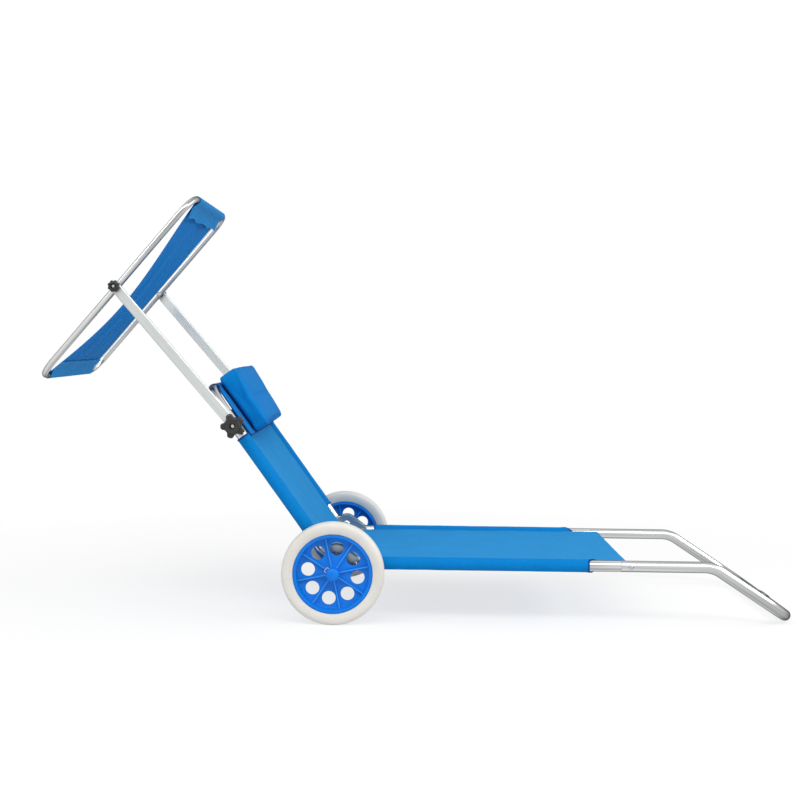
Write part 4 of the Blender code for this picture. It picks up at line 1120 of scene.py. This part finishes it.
# What stays from the solids gets its finish here
plainFinishes = {"steel_fastener": plainSteel, "zinc_plate": zincPlate, "knob_plastic": knobPlastic,
                 "bright_tube": brightTube, "rim_plastic": rimPlastic}
for part in frame["record"]["subparts"]:
    solid = frame["nodes"][part["node"]]
    if not solid.hide_render:
        finish = plainFinishes[part["material_slot"]]
        solid.data.materials.clear()
        solid.data.materials.append(finish)
print("fasteners finished")

# Floor, light and camera
stage = {"floor": 14.0, "fade": (("From Min", 0.5), ("From Max", 1.5), ("To Min", 0.72), ("To Max", 1.0)),
         "lamps": (("keyLight", (-0.5, -1.9, 2.5), 74.0, 5.0), ("fillLight", (2.8, -0.6, 2.0), 50.0, 3.0)),
         "lampDepth": 0.9, "lampAim": (0.0, 0.0, 0.25), "worldLight": 0.50}


def buildStage():
    bm = bmesh.new()
    bmesh.ops.create_grid(bm, x_segments=1, y_segments=1, size=stage["floor"])
    pale = bpy.data.materials.new("paleFloor")
    pale.use_nodes = True
    tree = pale.node_tree
    tree.nodes.clear()
    out = addNode(tree, "ShaderNodeOutputMaterial")
    matte = addNode(tree, "ShaderNodeBsdfDiffuse", Color=(0.86, 0.86, 0.86, 1.0))
    glow = addNode(tree, "ShaderNodeEmission", Color=(1.0, 1.0, 1.0, 1.0), Strength=1.0)
    where = addNode(tree, "ShaderNodeTexCoord")
    away = addNode(tree, "ShaderNodeVectorMath", {"operation": "LENGTH"}, i0=where.outputs["Object"])
    fade = addNode(tree, "ShaderNodeMapRange", Value=away.outputs["Value"])
    for label, value in stage["fade"]:  # near the object the floor keeps part of its shadow
        fade.inputs[label].default_value = value
    share = mathNode(tree, "MULTIPLY", seenRays(tree), fade.outputs["Result"])
    mix = addNode(tree, "ShaderNodeMixShader", i0=share, i1=matte.outputs[0], i2=glow.outputs[0])
    tree.links.new(mix.outputs[0], out.inputs["Surface"])
    floor = addMesh("floor", bm, pale, None, smooth=False)

    world = bpy.data.worlds.new("studio")
    bpy.context.scene.world = world
    world.use_nodes = True
    tree = world.node_tree
    tree.nodes.clear()
    out = addNode(tree, "ShaderNodeOutputWorld")
    soft = addNode(tree, "ShaderNodeBackground", Color=(1.0, 1.0, 1.0, 1.0), Strength=stage["worldLight"])
    white = addNode(tree, "ShaderNodeBackground", Color=(1.0, 1.0, 1.0, 1.0), Strength=1.0)
    last = addNode(tree, "ShaderNodeMixShader", i0=seenRays(tree), i1=soft.outputs[0], i2=white.outputs[0])
    tree.links.new(last.outputs[0], out.inputs["Surface"])

    for name, at, power, wide in stage["lamps"]:
        lamp = bpy.data.lights.new(name, "AREA")
        lamp.energy = power
        lamp.shape = "RECTANGLE"
        lamp.size = wide
        lamp.size_y = stage["lampDepth"]
        obj = bpy.data.objects.new(name, lamp)
        bpy.context.scene.collection.objects.link(obj)
        obj.location = at
        aim = Vector(stage["lampAim"]) - Vector(at)
        obj.rotation_euler = aim.to_track_quat("-Z", "Y").to_euler()


buildStage()

# The photograph's view: focal length and place from a fit on both wheels, rails and canopy corners
camera = {"place": (-0.0284, -2.6660, 0.5423), "yaw": 0.232, "pitch": -2.760, "roll": -0.782,
          "focalPixels": 1289.5, "imageWidth": 801.0, "sensor": 36.0}


def buildCamera():
    data = bpy.data.cameras.new("photoView")
    data.sensor_width = camera["sensor"]
    data.lens = camera["sensor"] * camera["focalPixels"] / camera["imageWidth"]
    obj = bpy.data.objects.new("photoView", data)
    bpy.context.scene.collection.objects.link(obj)
    turn = Matrix.Translation(camera["place"])
    for key, axis in (("yaw", "Z"), ("pitch", "X"), ("roll", "Y")):
        turn = turn @ Matrix.Rotation(math.radians(camera[key]), 4, axis)
    obj.matrix_world = turn @ Matrix.Rotation(math.pi / 2, 4, "X")
    bpy.context.scene.camera = obj


buildCamera()
bpy.context.scene.view_settings.view_transform = "Standard"
print("stage and camera ready")
